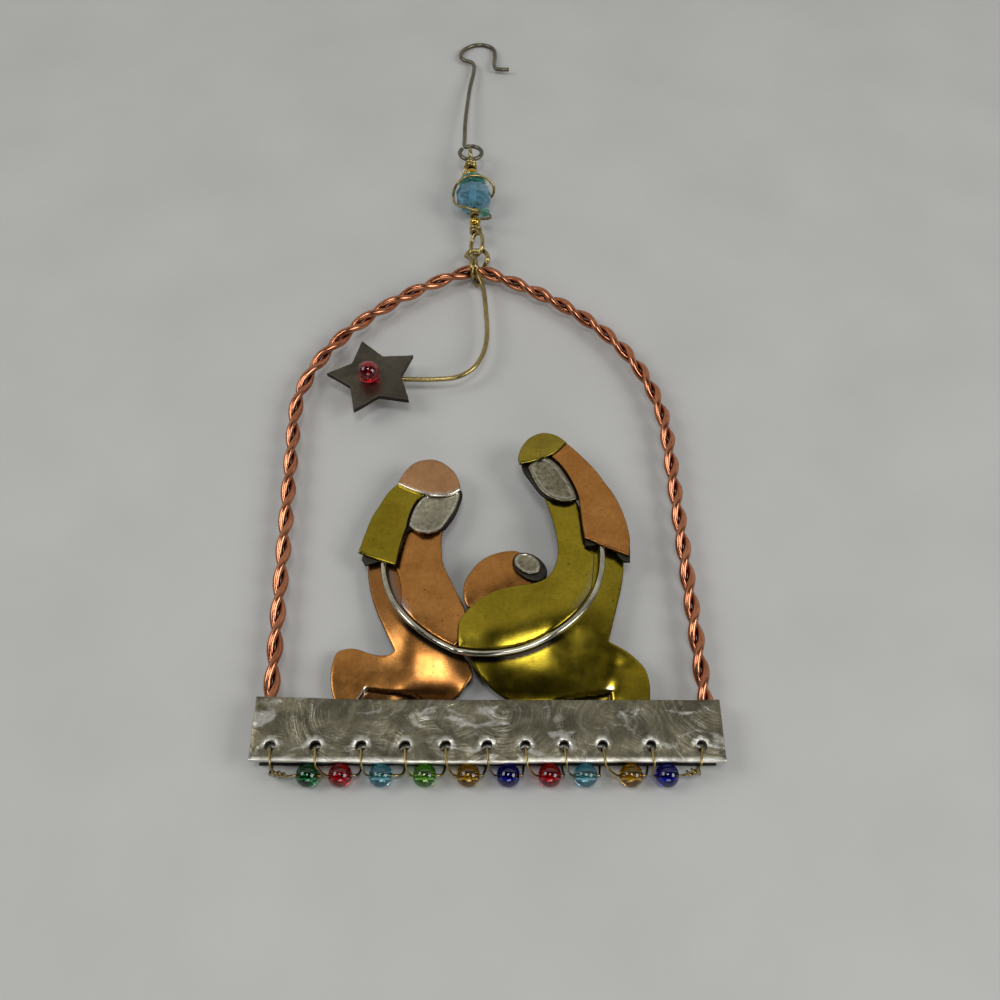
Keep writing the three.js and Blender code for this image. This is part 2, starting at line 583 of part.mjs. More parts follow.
const BRASS_SCARF = [
  [[0.7192, 1.2044], [0.8374, 1.0813], [0.9754, 0.9089], [1.0690, 0.7512], [1.1429, 0.6232],
    [1.2020, 0.4704], [1.2414, 0.3079], [1.2611, 0.1453], [1.2414, -0.0419]],
  [[1.2414, -0.0419], [1.0690, 0.0222], [0.8424, 0.1108]],
  [[0.8424, 0.1108], [0.8276, 0.2291], [0.8177, 0.4015], [0.8054, 0.5640]],
  [[0.8054, 0.5640], [0.7906, 0.6330], [0.7586, 0.7266], [0.7044, 0.8448], [0.6404, 0.9483],
    [0.5665, 1.0271]],
  [[0.5665, 1.0271], [0.5764, 1.1256], [0.6453, 1.1897], [0.7192, 1.2044]],
];
const BRASS_FACE = [
  [[0.3350, 0.9138], [0.3842, 0.7709], [0.4532, 0.6330], [0.5517, 0.5394], [0.6502, 0.5099],
    [0.7340, 0.5197], [0.7882, 0.5493]],
  [[0.7882, 0.5493], [0.7611, 0.6527], [0.7143, 0.7709], [0.6404, 0.9039], [0.5517, 0.9975]],
  [[0.5517, 0.9975], [0.4384, 1.0271], [0.3350, 0.9138]],
];
const BRASS_CAP = [
  [[0.2562, 0.9335], [0.2414, 1.0025], [0.2709, 1.1158], [0.3399, 1.2241], [0.4236, 1.2833],
    [0.5074, 1.3030], [0.6207, 1.2734], [0.7143, 1.1946]],
  [[0.7143, 1.1946], [0.6502, 1.1158], [0.5665, 1.0369], [0.4581, 0.9778], [0.3596, 0.9483],
    [0.2562, 0.9335]],
];
add('brass_robe', sheet(outlineOf(BRASS_ROBE), brassDome, 0), brass);
add('brass_torso', sheet(outlineOf(BRASS_TORSO), brassDome, 1), brass);
add('brass_head_backing', sheet(outlineOf(BRASS_BACKING), brassDome, 2), darkSteel);
add('brass_head_scarf', sheet(outlineOf(BRASS_SCARF), brassDome, 3), copper);
add('brass_head_face', sheet(outlineOf(BRASS_FACE), brassDome, 3), silver);
add('brass_head_cap', sheet(outlineOf(BRASS_CAP), brassDome, 4), brass);

// Child: a copper bump with a dark rim round its face disc
const childDome = dome(4.4, [
  { line: [[-0.0837, -0.3325], [0.2611, -0.1355]], width: 3.5, height: 1.2 },
]);
const CHILD_BODY = [
  [[-0.2512, -0.4507], [-0.2562, -0.3424], [-0.2414, -0.2586], [-0.1724, -0.1355], [-0.0887, -0.0419],
    [0.0099, 0.0123], [0.1330, 0.0419], [0.2365, 0.0320], [0.3399, -0.0567], [0.3596, -0.2833],
    [0.1133, -0.4704], [-0.0837, -0.5345], [-0.2020, -0.5345], [-0.2512, -0.4507]],
];
function oval(u, v, a, b, tilt, points) {
  const middle = new THREE.Vector2(u, v);
  const angle = THREE.MathUtils.degToRad(tilt);
  return along(points - 1, (t) => {
    const turn = 2 * Math.PI * t * ((points - 1) / points);
    const spot = new THREE.Vector2(u + a * Math.cos(turn), v + b * Math.sin(turn));
    return onCradle(spot.rotateAround(middle, angle).toArray());
  });
}
add('child_body', sheet(outlineOf([...CHILD_BODY]), childDome, 0), copper);
const childRim = oval(0.3374, -0.1478, 0.1749, 0.1232, -38, 18);
add('child_bezel', sheet(childRim, childDome, 1, BEZEL_THICKNESS), darkSteel);
const childFace = sheet(oval(0.3153, -0.1305, 0.1281, 0.0961, -33, 16), childDome, 1, CHILD_FACE_THICKNESS);
add('child_face', childFace, silver).position.z = BEZEL_THICKNESS + SHEET_GAP;

// Cradle wire: an arc that rides over both robes, just outside the edges of the two torsos
const LEFT_FADE = 0.3;
const cradlePoints = along(30, (t) => {
  const a = THREE.MathUtils.degToRad(183 + 182 * t);
  const x = CRADLE_X + CRADLE_RADIUS * Math.cos(a);
  const y = CRADLE_HEIGHT + CRADLE_RADIUS * Math.sin(a);
  const rest = Math.max(copperDome(x, y), brassDome(x, y) - LEFT_FADE * Math.max(0, -5 - x));
  return [x, y, rest + CRADLE_WIRE_LIFT + CRADLE_WIRE_RADIUS];
});
add('cradle_wire', wire(cradlePoints, CRADLE_WIRE_RADIUS, 6, 1), silver);

// Star wire: a tail behind the apex, the hanging eye, two wraps round the arch and the stem to the star
const wrapRadius = pairRadius + STAR_WIRE_RADIUS + WRAP_CLEARANCE;
const eyeTop = APEX_HEIGHT + EYE_HEIGHT;
const eyeZ = archZ + EYE_RISE;
const wrapPoint = (x, turns) => {
  const a = 2 * Math.PI * turns;
  return [x, APEX_HEIGHT + wrapRadius * Math.cos(a), archZ + wrapRadius * Math.sin(a)];
};
const wraps = along(12, (t) => wrapPoint(APEX_X - 1.25 + 1.25 * t, 0.15 + 1.3 * t));
const STAR_CENTRE = [-24.2, 70.2];
const starStem = [
  [APEX_X + 1.35, 96.3, STAR_WIRE_Z], [APEX_X + 2.2, 88.0, STAR_WIRE_Z], [APEX_X + 2.4, 82.1, STAR_WIRE_Z],
  [APEX_X + 1.7, 77.4, STAR_WIRE_Z], [APEX_X - 0.3, 73.2, STAR_WIRE_Z], [APEX_X - 3.5, 70.8, STAR_WIRE_Z],
  [APEX_X - 7.9, 70.1, STAR_WIRE_Z], [APEX_X - 15.4, 70.1, STAR_WIRE_Z], [STAR_CENTRE[0], 70.1, STAR_WIRE_Z],
];
const starWire = [
  [APEX_X - 0.1, APEX_HEIGHT - 3.6, archZ - 1.5],
  [APEX_X + 0.7, APEX_HEIGHT - 1.7, archZ - 1.95],
  [APEX_X + 1.2, APEX_HEIGHT + 0.2, archZ - 2.05],
  [APEX_X + 1.5, APEX_HEIGHT + 1.7, archZ - 1.1],
  [APEX_X + EYE_HALF_WIDTH - 0.1, APEX_HEIGHT + 2.6, eyeZ - 0.3],
  [APEX_X + EYE_HALF_WIDTH - 0.15, eyeTop - 1.7, eyeZ],
  [APEX_X + EYE_HALF_WIDTH * 0.62, eyeTop - 0.3, eyeZ],
  [APEX_X, eyeTop, eyeZ],
  [APEX_X - EYE_HALF_WIDTH * 0.62, eyeTop - 0.3, eyeZ],
  [APEX_X - EYE_HALF_WIDTH + 0.15, eyeTop - 1.7, eyeZ],
  [APEX_X - EYE_HALF_WIDTH + 0.1, APEX_HEIGHT + 3.2, eyeZ + 0.5],
  ...wraps,
  [APEX_X + 0.4, APEX_HEIGHT - 3.3, archZ + 1.3],
  ...starStem,
];
add('star_wire', wire(starWire, STAR_WIRE_RADIUS, 6, 2), brassWire);

// Star, cut by hand, with its glass bead
const STAR_TIPS = [[-27.2, 79.2], [-16.2, 75.3], [-16.5, 63.5], [-27.6, 60.9], [-33.9, 70.5]];
const STAR_NOTCHES = [[-22.5, 75.0], [-18.4, 69.8], [-22.8, 64.5], [-28.8, 67.1], [-28.9, 73.1]];
const starEdge = STAR_TIPS.flatMap((tip, i) => [vec2(tip), vec2(STAR_NOTCHES[i])]);
const starShape = new THREE.Shape(starEdge.reverse());
const starZ = STAR_WIRE_Z + STAR_WIRE_RADIUS + STAR_CLEARANCE;
const starPlate = closed(new THREE.ExtrudeGeometry(starShape, { depth: STAR_THICKNESS, bevelEnabled: false }));
add('star_plate', starPlate, starSteel).position.z = starZ;
const starBeadZ = starZ + STAR_THICKNESS + STAR_BEAD_RADIUS + STAR_CLEARANCE;
add('star_bead', closed(new THREE.SphereGeometry(STAR_BEAD_RADIUS, 12, 8)), beadGlass.red)
  .position.set(STAR_CENTRE[0] - 0.7, STAR_CENTRE[1] - 1.3, starBeadZ);

// Link: hangs in the eye of the star wire. Its own y axis runs along the threaded wire.
const link = new THREE.Group();
link.position.set(APEX_X, eyeTop, eyeZ);
link.rotation.set(
  THREE.MathUtils.degToRad(LINK_CLIMB), 0, THREE.MathUtils.degToRad(LINK_LEAN), 'ZXY',
);
ornament.add(link);

const linkWrap = 2 * LINK_WIRE_RADIUS + LINK_WRAP_CLEARANCE;
const coilRound = (radius, from, to, turns, start) => along(6 * turns, (t) => {
  const a = start + 2 * Math.PI * turns * t;
  return [radius * Math.sin(a), from + (to - from) * t, radius * Math.cos(a)];
});
const wrapLength = 2 * (2 * LINK_WIRE_RADIUS) + LINK_WRAP_CLEARANCE;
const loopTop = LOWER_LOOP_LENGTH - LOWER_LOOP_SLACK;
const lowerWrapEnd = loopTop + wrapLength;
const lowerGoldY = lowerWrapEnd + LINK_WIRE_RADIUS + THREAD_GAP + LOWER_GOLD_RADIUS;
const cageCoilStart = lowerGoldY + LOWER_GOLD_RADIUS + THREAD_GAP + CAGE_WIRE_RADIUS;
const crystalY = cageCoilStart + CAGE_COIL_LENGTH - CAGE_WIRE_RADIUS + THREAD_GAP + CRYSTAL_LENGTH / 2;
const rondelleY = crystalY + CRYSTAL_LENGTH / 2 + THREAD_GAP + RONDELLE_LENGTH / 2;
const upperGoldY = rondelleY + RONDELLE_LENGTH / 2 + THREAD_GAP + UPPER_GOLD_RADIUS;
const upperWrapStart = upperGoldY + UPPER_GOLD_RADIUS + THREAD_GAP + LINK_WIRE_RADIUS;
const upperWrapEnd = upperWrapStart + wrapLength;
const upperLoopY = upperWrapEnd + 0.2 + UPPER_LOOP_RADIUS;

const loopMiddle = LOWER_LOOP_LENGTH / 2 - LOWER_LOOP_SLACK;
const loopTwist = THREE.MathUtils.degToRad(LOWER_LOOP_TWIST);
const lowerLoop = along(12, (t) => {
  const a = THREE.MathUtils.degToRad(150 - 300 * t);
  const across = (LOWER_LOOP_WIDTH / 2) * Math.sin(a);
  return [
    across * Math.cos(loopTwist),
    loopMiddle - (LOWER_LOOP_LENGTH / 2) * Math.cos(a),
    across * Math.sin(loopTwist),
  ];
});
const upperLoop = along(10, (t) => {
  const a = THREE.MathUtils.degToRad(-62 + 304 * t);
  return [0, upperLoopY + UPPER_LOOP_RADIUS * Math.sin(a), UPPER_LOOP_RADIUS * Math.cos(a)];
});
const linkWire = [
  ...coilRound(linkWrap, lowerWrapEnd, loopTop + 0.45, 1.5, Math.PI),
  ...lowerLoop,
  [0, loopTop + 0.7, 0], [0, lowerGoldY, 0], [0, cageCoilStart, 0], [0, crystalY, 0], [0, rondelleY, 0],
  [0, upperGoldY, 0], [0, upperWrapEnd - 0.3, 0],
  ...upperLoop,
  ...coilRound(linkWrap, upperWrapEnd, upperWrapStart, 2, Math.PI),
];
add('link_wire', wire(linkWire, LINK_WIRE_RADIUS, 6, 1), brassWire, link);

const threadBore = LINK_WIRE_RADIUS + THREAD_CLEARANCE;
add('lower_gold_bead', roundBead(LOWER_GOLD_RADIUS, threadBore, 12, 5), gold, link).position.y = lowerGoldY;
const crystalProfile = [
  [CRYSTAL_END_RADIUS, -CRYSTAL_LENGTH / 2], [CRYSTAL_RADIUS, -CRYSTAL_BAND / 2],
  [CRYSTAL_RADIUS, CRYSTAL_BAND / 2], [CRYSTAL_END_RADIUS, CRYSTAL_LENGTH / 2],
];
add('crystal_bead', bored(crystalProfile, threadBore, 12), crystalGlass, link).position.y = crystalY;
const rondelleSweep = Math.PI * 0.375;
const rondelleProfile = along(4, (t) => {
  const a = rondelleSweep * (2 * t - 1);
  const radius = RONDELLE_RADIUS * (0.45 + 0.55 * Math.cos(a));
  return [radius, (RONDELLE_LENGTH / 2) * (Math.sin(a) / Math.sin(rondelleSweep))];
});
add('rondelle_bead', bored(rondelleProfile, threadBore, 12), tealGlass, link).position.y = rondelleY;
add('upper_gold_bead', roundBead(UPPER_GOLD_RADIUS, threadBore, 12, 5), gold, link).position.y = upperGoldY;

// Cage wire: round the crystal and its seed bead, then coiled on the link's wire below the crystal
const cageReach = CRYSTAL_RADIUS + CAGE_WIRE_RADIUS + 0.2;
const seedPoint = [2.3, lowerGoldY + 0.6, 2.4];
const cageCore = LINK_WIRE_RADIUS + CAGE_WIRE_RADIUS + 0.1;
const cageWire = [
  [-1.0, upperWrapStart + 0.9, 1.15],
  [-1.75, upperGoldY + 1.0, 0.6],
  [-2.2, upperGoldY - 0.9, -0.9],
  [-2.5, rondelleY + 0.4, -3.1],
  [0.6, rondelleY - 0.9, -4.0],
  [3.2, crystalY + 2.4, -2.9],
  [4.7, crystalY + 1.6, -0.9],
  [5.0, crystalY + 2.4, 0.8],
  [3.8, crystalY + 3.4, 2.2],
  [1.7, crystalY + 3.7, 3.2],
  [-1.2, crystalY + 3.0, 3.9],
  [-3.5, crystalY + 2.0, 3.0],
  [-cageReach, crystalY + 0.8, 0.9],
  [-cageReach, crystalY - 0.8, 0.0],
  [-3.6, crystalY - 2.9, 0.7],
  [-2.2, crystalY - 4.3, 1.7],
  [0.2, lowerGoldY + 1.3, 2.4],
  [seedPoint[0] - 0.9, seedPoint[1] + 0.3, seedPoint[2] + 0.25],
  seedPoint,
  [seedPoint[0] + 0.9, seedPoint[1] - 0.3, seedPoint[2] - 0.25],
  [3.6, lowerGoldY + 0.5, 1.0],
  [3.1, lowerGoldY + 1.5, -0.6],
  [1.7, cageCoilStart + 0.3, -1.1],
  ...along(12, (t) => {
    const a = 2 * Math.PI * (0.5 - 2 * t) - 0.6;
    return [
      cageCore * Math.sin(a) * -1, cageCoilStart + 0.15 + (CAGE_COIL_LENGTH - 2.1 * CAGE_WIRE_RADIUS) * t,
      cageCore * Math.cos(a),
    ];
  }),
];
add('cage_wire', wire(cageWire, CAGE_WIRE_RADIUS, 5, 1), brassWire, link);
const seedDirection = new THREE.Vector3(0.9, -0.3, -0.25).normalize();
const seed = add('seed_bead', roundBead(SEED_BEAD_RADIUS, CAGE_WIRE_RADIUS + 0.12, 10, 4), tealGlass, link);
seed.position.set(...seedPoint);
seed.quaternion.setFromUnitVectors(new THREE.Vector3(0, 1, 0), seedDirection);

// Hook: its eye hangs in the link's upper loop, and its bend lies on the table
const EYE_BAR = [0, upperLoopY - 0.35, -0.45];
const hook = new THREE.Group();
link.updateMatrixWorld(true);
hook.position.copy(link.localToWorld(vec3(EYE_BAR)));
hook.rotation.x = THREE.MathUtils.degToRad(-HOOK_SLOPE);
ornament.add(hook);
const hookEye = along(14, (t) => {
  const a = THREE.MathUtils.degToRad(118 - 334 * t);
  return [HOOK_EYE_RADIUS * Math.cos(a), HOOK_EYE_RADIUS * (1 + Math.sin(a)), 0];
});
const hookLine = [
  [9.4, 39.3], [7.4, 39.3], [6.2, 39.6], [5.6, 41.4], [5.8, 46.0], [5.4, 49.0], [4.1, 50.6], [2.2, 51.3],
  [0.2, 51.1], [-1.9, 49.7], [-3.2, 47.6], [-3.4, 45.3], [-2.3, 43.7], [-0.5, 42.8], [0.2, 41.2], [0.1, 37.2],
  [-0.6, 31.7], [-1.0, 26.4], [-1.6, 15.1], [-1.6, 8.0], [-1.6, 5.9],
].map(([x, y]) => [x, y, 0]);
add('hook', wire([...hookLine, ...hookEye], HOOK_WIRE_RADIUS, 6, 1), hookSteel, hook);

// Origin: the middle of the ornament's box, on the table
const extent = new THREE.Box3().setFromObject(ornament, true);
const middle = extent.getCenter(new THREE.Vector3());
ornament.position.set(-middle.x, -middle.y, -extent.min.z);
ornament.updateMatrixWorld(true);

export default ornament;
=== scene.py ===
"""Metal nativity ornament lying on a pale table.

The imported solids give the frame. Each piece is rebuilt here over its solid, with its fine shape and finish.
Points are written in millimetres from the middle of the bar's upper edge, as in the solids' own source:
x to the right, y towards the hook, z up from the table.
"""
import json
from math import acos, cos, pi, radians, sin

import bpy
import numpy as np
from mathutils import Matrix, Vector, noise
from mathutils.geometry import delaunay_2d_cdt


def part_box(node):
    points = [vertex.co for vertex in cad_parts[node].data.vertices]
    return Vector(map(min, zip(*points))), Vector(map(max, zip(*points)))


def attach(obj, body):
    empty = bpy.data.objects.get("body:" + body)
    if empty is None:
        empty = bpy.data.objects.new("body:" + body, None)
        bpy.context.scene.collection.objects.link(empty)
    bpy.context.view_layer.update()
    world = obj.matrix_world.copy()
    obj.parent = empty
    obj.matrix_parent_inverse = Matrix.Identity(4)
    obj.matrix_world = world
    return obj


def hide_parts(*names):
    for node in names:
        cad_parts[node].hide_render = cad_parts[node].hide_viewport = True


MM = 0.001
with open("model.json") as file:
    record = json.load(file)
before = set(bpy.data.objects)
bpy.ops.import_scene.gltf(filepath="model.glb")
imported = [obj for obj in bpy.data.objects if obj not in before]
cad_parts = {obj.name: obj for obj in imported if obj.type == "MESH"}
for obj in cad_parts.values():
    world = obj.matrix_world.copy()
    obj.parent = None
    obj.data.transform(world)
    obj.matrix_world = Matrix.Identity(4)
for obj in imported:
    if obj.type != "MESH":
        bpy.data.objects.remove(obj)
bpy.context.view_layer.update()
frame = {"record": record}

# Where the drawing's origin lies in the frame
BAR_PLATE = 0.7
FRONT_PLATE_Z = 4.3
BACK_PLATE_Z = 0.5
BAR_HEIGHT = 11.4
bar_low, bar_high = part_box("bar_front_plate")
BAR_LEFT_RISE = 0.17
ORIGIN = Vector(((bar_low.x + bar_high.x) / 2, bar_high.y - BAR_LEFT_RISE * MM,
                 bar_low.z - FRONT_PLATE_Z * MM))
DRAWING = Matrix.Translation(ORIGIN) @ Matrix.Scale(MM, 4)
ARCH_Z = (BACK_PLATE_Z + BAR_PLATE + FRONT_PLATE_Z) / 2
BAR_FRONT = FRONT_PLATE_Z + BAR_PLATE

joints = {joint["name"]: joint for joint in frame["record"]["behaviour"]["joints"]}


def axes_at(origin, along):
    """Local axes of a piece that hangs from a joint: y runs along it, x stays level, z is its front."""
    y = Vector(along).normalized()
    x = y.cross(Vector((0, 0, 1))).normalized()
    rows = Matrix((x, y, x.cross(y))).transposed().to_4x4()
    return Matrix.Translation(origin) @ rows @ Matrix.Scale(MM, 4)


HOOK_SLOPE = radians(4.6)
LINK = axes_at(joints["link_swing"]["pos_m"], joints["bead_stack_spin"]["axis"])
HOOK = axes_at(joints["hook_swing"]["pos_m"], (0, cos(HOOK_SLOPE), -sin(HOOK_SLOPE)))


# Curves
SAME_POINT = 0.1


def curve(points, per_span, centripetal=True):
    """A smooth curve through the points: centripetal for wires, uniform with held ends for outlines."""
    p = np.array(points, float)
    if centripetal:
        p = np.vstack([2 * p[0] - p[1], p, 2 * p[-1] - p[-2]])
    else:
        p = np.vstack([p[0], p, p[-1]])
    out = []
    for a, b, c, d in zip(p, p[1:], p[2:], p[3:]):
        t = np.linspace(0, 1, per_span + 1)[:-1, None]
        if centripetal:
            k0, k1, k2 = (max(np.linalg.norm(q - r), 1e-6) ** 0.5 for q, r in ((b, a), (c, b), (d, c)))
            m1 = ((b - a) / k0 - (c - a) / (k0 + k1) + (c - b) / k1) * k1
            m2 = ((c - b) / k1 - (d - b) / (k1 + k2) + (d - c) / k2) * k1
        else:
            m1 = (c - a) / 2
            m2 = (d - b) / 2
        out.append(b + m1 * t + (3 * (c - b) - 2 * m1 - m2) * t**2 + (2 * (b - c) + m1 + m2) * t**3)
    out.append(p[-2][None])
    return np.vstack(out)


def outline(runs, step=0.4):
    """One closed loop of evenly spaced points: each run is a smooth curve, and runs meet at corners.

    A list that follows another list starts at the other's last point."""
    points = []
    before = None
    for run in [*runs, [runs[0][0]]]:
        follows = isinstance(run, list) and isinstance(before, list)
        line = np.array([before[-1], *run] if follows else run, float)
        before = run
        if len(line) > 2:
            line = curve(line, 12, centripetal=False)
        lengths = np.concatenate([[0], np.cumsum(np.linalg.norm(np.diff(line, axis=0), axis=1))])
        count = max(1, round(lengths[-1] / step))
        at = np.linspace(0, lengths[-1], count + 1)
        even = np.stack([np.interp(at, lengths, line[:, k]) for k in (0, 1)], axis=1)
        points.extend(q for q in even if not points or np.linalg.norm(q - points[-1]) > SAME_POINT)
    if np.linalg.norm(points[0] - points[-1]) < SAME_POINT:
        points.pop()
    loop = np.array(points)
    area = np.sum(loop[:, 0] * np.roll(loop[:, 1], -1) - np.roll(loop[:, 0], -1) * loop[:, 1])
    return loop if area > 0 else loop[::-1]


def circle(x, y, a, b, tilt, count):
    """A closed loop of points on an ellipse."""
    turn = np.linspace(0, 2 * pi, count, endpoint=False)
    u, v = a * np.cos(turn), b * np.sin(turn)
    c, s = cos(radians(tilt)), sin(radians(tilt))
    return np.stack([x + u * c - v * s, y + u * s + v * c], axis=1)


def arc_run(radius, start, end, count=24):
    """Points of an arc about the middle of the cradle wire."""
    a = np.radians(np.linspace(start, end, count))
    return np.stack([CRADLE_X + radius * np.cos(a), CRADLE_Y + radius * np.sin(a)], axis=1)


def line_distance(points, line):
    """Distance of each point from an open line, in the plane."""
    a, b = line[:-1], line[1:]
    ab = b - a
    ap = points[:, None, :] - a[None]
    t = np.clip(np.sum(ap * ab, axis=2) / np.maximum(np.sum(ab * ab, axis=1), 1e-9), 0, 1)
    return np.linalg.norm(ap - t[..., None] * ab, axis=2).min(axis=1)


def loop_distance(points, loops):
    """Distance of each point from the nearest of several closed loops."""
    return np.min([line_distance(points, np.vstack([loop, loop[:1]])) for loop in loops], axis=0)


def inside(points, loop):
    """Whether each point lies within a closed loop."""
    a, b = loop, np.roll(loop, -1, axis=0)
    x, y = points[:, 0, None], points[:, 1, None]
    spans = (a[:, 1] > y) != (b[:, 1] > y)
    rise = np.where(b[:, 1] == a[:, 1], 1, b[:, 1] - a[:, 1])
    return np.sum(spans & (x < (b[:, 0] - a[:, 0]) * (y - a[:, 1]) / rise + a[:, 0]), axis=1) % 2 == 1


def on_metal(points, loops):
    """Whether each point lies within an outline but in none of its holes."""
    return np.sum([inside(points, loop) for loop in loops], axis=0) % 2 == 1


def bumps(points, size, seed):
    """Smooth seeded unevenness between -1 and 1, for dents and hand-cut edges."""
    return np.array([noise.noise(Vector((p[0] / size, p[1] / size, seed))) for p in points])


def smooth(value, low, high):
    """A soft step from 0 at the low value to 1 at the high one."""
    t = np.clip((value - low) / (high - low), 0, 1)
    return t * t * (3 - 2 * t)


# Meshes

def in_scene(name, data):
    made = bpy.data.objects.new(name, data)
    bpy.context.scene.collection.objects.link(made)
    return made


def piece(node, ending, points, faces, slot, body="frame", place=DRAWING, sharp=50, values=None,
          finish=None):
    """A mesh piece that stands for one solid and rides on its body."""
    name = f"{node}_{ending}"
    mesh = bpy.data.meshes.new(name)
    mesh.from_pydata([place @ Vector(p) for p in points], [], faces)
    mesh.polygons.foreach_set("use_smooth", [True] * len(mesh.polygons))
    mesh.set_sharp_from_angle(angle=radians(sharp))
    mesh.materials.append(finishes[finish or slot])
    for key, column in (values or {}).items():
        mesh.attributes.new(key, "FLOAT", "POINT").data.foreach_set("value", np.array(column, np.float32))
    made = in_scene(name, mesh)
    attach(made, body)
    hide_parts(node)


def skin(rings, around, closed=False):
    """The faces between neighbouring rings of points."""
    faces = []
    for i in range(rings if closed else rings - 1):
        for j in range(around):
            k, m = (j + 1) % around, (i + 1) % rings
            faces.append((i * around + j, i * around + k, m * around + k, m * around + j))
    return faces


CUT_REACH = 0.25
CUT_WIDTH = 0.72


def sweep(path, radius, sides):
    """Points and faces of a round wire along a path, its cut ends slightly rounded over."""
    path = np.array(path, float)
    heading = np.gradient(path, axis=0)
    heading /= np.linalg.norm(heading, axis=1)[:, None]
    side = np.cross(heading[0], (0.0, 0.0, 1.0))
    if np.linalg.norm(side) < 0.1:
        side = np.cross(heading[0], (0.0, 1.0, 0.0))
    rings = []
    turn = np.linspace(0, 2 * pi, sides, endpoint=False)
    past_end = CUT_REACH * radius
    centres = [path[0] - heading[0] * past_end, *path, path[-1] + heading[-1] * past_end]
    headings = [heading[0], *heading, heading[-1]]
    radii = [radius * CUT_WIDTH, *[radius] * len(path), radius * CUT_WIDTH]
    for centre, direction, r in zip(centres, headings, radii):
        side = side - direction * np.dot(side, direction)
        side /= np.linalg.norm(side)
        up = np.cross(direction, side)
        rings.append(centre + r * (np.cos(turn)[:, None] * side + np.sin(turn)[:, None] * up))
    last = (len(rings) - 1) * sides
    ends = [tuple(reversed(range(sides))), tuple(range(last, last + sides))]
    return np.vstack(rings), skin(len(rings), sides) + ends


def lathe(profile, segments):
    """Points and faces of a closed profile of (radius, height) turned round the local y axis."""
    profile = np.array(profile, float)
    turn = np.linspace(0, 2 * pi, segments, endpoint=False)
    points = [(r * cos(a), h, r * sin(a)) for a in turn for r, h in profile]
    return points, skin(segments, len(profile), closed=True)


EDGE_ROUND = 0.2
EDGE_RING = 0.35
ROW_SPACING = 0.87
EDGE_SHADE = 0.85


def sheet(loops, height, thickness, pitch=0.55, edge_round=EDGE_ROUND):
    """Points, faces and edge values of sheet metal: cut to the loops, its upper face at the given height.

    The first loop is the outline and the others are holes. The upper edge is rounded over."""
    rings = []
    for loop in loops:
        ahead = np.roll(loop, -1, axis=0) - np.roll(loop, 1, axis=0)
        inward = np.stack([-ahead[:, 1], ahead[:, 0]], axis=1)
        inward /= np.maximum(np.linalg.norm(inward, axis=1), 1e-9)[:, None]
        if loop is not loops[0]:
            inward = -inward
        rings += [loop, loop + inward * edge_round * EDGE_RING, loop + inward * edge_round]
    low, high = loops[0].min(axis=0), loops[0].max(axis=0)
    grid = []
    for j, y in enumerate(np.arange(low[1], high[1], pitch * ROW_SPACING)):
        xs = np.arange(low[0] + (j % 2) * pitch / 2, high[0], pitch)
        grid.append(np.stack([xs, np.full_like(xs, y)], axis=1))
    grid = np.vstack(grid)
    grid = grid[on_metal(grid, loops)]
    grid = grid[loop_distance(grid, loops) > edge_round + 0.5 * pitch]
    edges = []
    start = 0
    for ring in rings:
        n = len(ring)
        edges += [(start + i, start + (i + 1) % n) for i in range(n)]
        start += n
    flat = np.vstack([*rings, grid])
    verts, _, tris, *_ = delaunay_2d_cdt([Vector(p) for p in flat], edges, [], 0, 1e-4)
    flat = np.array([tuple(v) for v in verts])
    tris = np.array([t for t in tris if len(t) == 3])
    tris = tris[on_metal(flat[tris].mean(axis=1), loops)]
    used, tris = np.unique(tris, return_inverse=True)
    tris = tris.reshape(-1, 3)
    flat = flat[used]
    corner = flat[tris]
    clockwise = np.cross(corner[:, 1] - corner[:, 0], corner[:, 2] - corner[:, 0]) < 0
    tris[clockwise] = tris[clockwise][:, ::-1]
    depth = np.minimum(loop_distance(flat, loops), edge_round)
    drop = edge_round - np.sqrt(edge_round**2 - (edge_round - depth) ** 2)
    base = height(flat)
    n = len(flat)
    top = np.column_stack([flat, base - drop])
    wall = np.column_stack([flat, base - np.maximum(drop, edge_round * 0.99) - 0.01])
    bottom = np.column_stack([flat, base - thickness])
    sides = {}
    for a, b, c in tris:
        for edge in ((a, b), (b, c), (c, a)):
            if edge[::-1] in sides:
                del sides[edge[::-1]]
            else:
                sides[edge] = True
    faces = [tuple(t) for t in tris] + [tuple(2 * n + i for i in t[::-1]) for t in tris]
    for a, b in sides:
        faces += [(b, a, n + a, n + b), (n + b, n + a, 2 * n + a, 2 * n + b)]
    # Cut walls and undersides are marked to be darker; the rounded upper edge gets painted shade, darkest at
    # the cut, as a dark line round each sheet
    rim = np.concatenate([np.zeros(n), np.ones(n), np.ones(n)])
    painted_gap_shade = np.concatenate([EDGE_SHADE * (1 - depth / edge_round), np.zeros(2 * n)])
    points = np.vstack([top, wall, bottom])
    used = sorted({i for face in faces for i in face})
    index = {old: new for new, old in enumerate(used)}
    faces = [tuple(index[i] for i in face) for face in faces]
    return points[used], faces, {"rim": rim[used], "painted_gap_shade": painted_gap_shade[used]}


# Finishes

def add_node(tree, kind, settings=None, inputs=None, output=0):
    """A new node with its settings and its fixed or linked inputs. Gives one of its outputs."""
    made = tree.nodes.new("ShaderNode" + kind)
    for key, value in (settings or {}).items():
        setattr(made, key, value)
    for key, value in (inputs or {}).items():
        if isinstance(value, bpy.types.NodeSocket):
            tree.links.new(value, made.inputs[key])
        else:
            made.inputs[key].default_value = value
    return made.outputs[output]


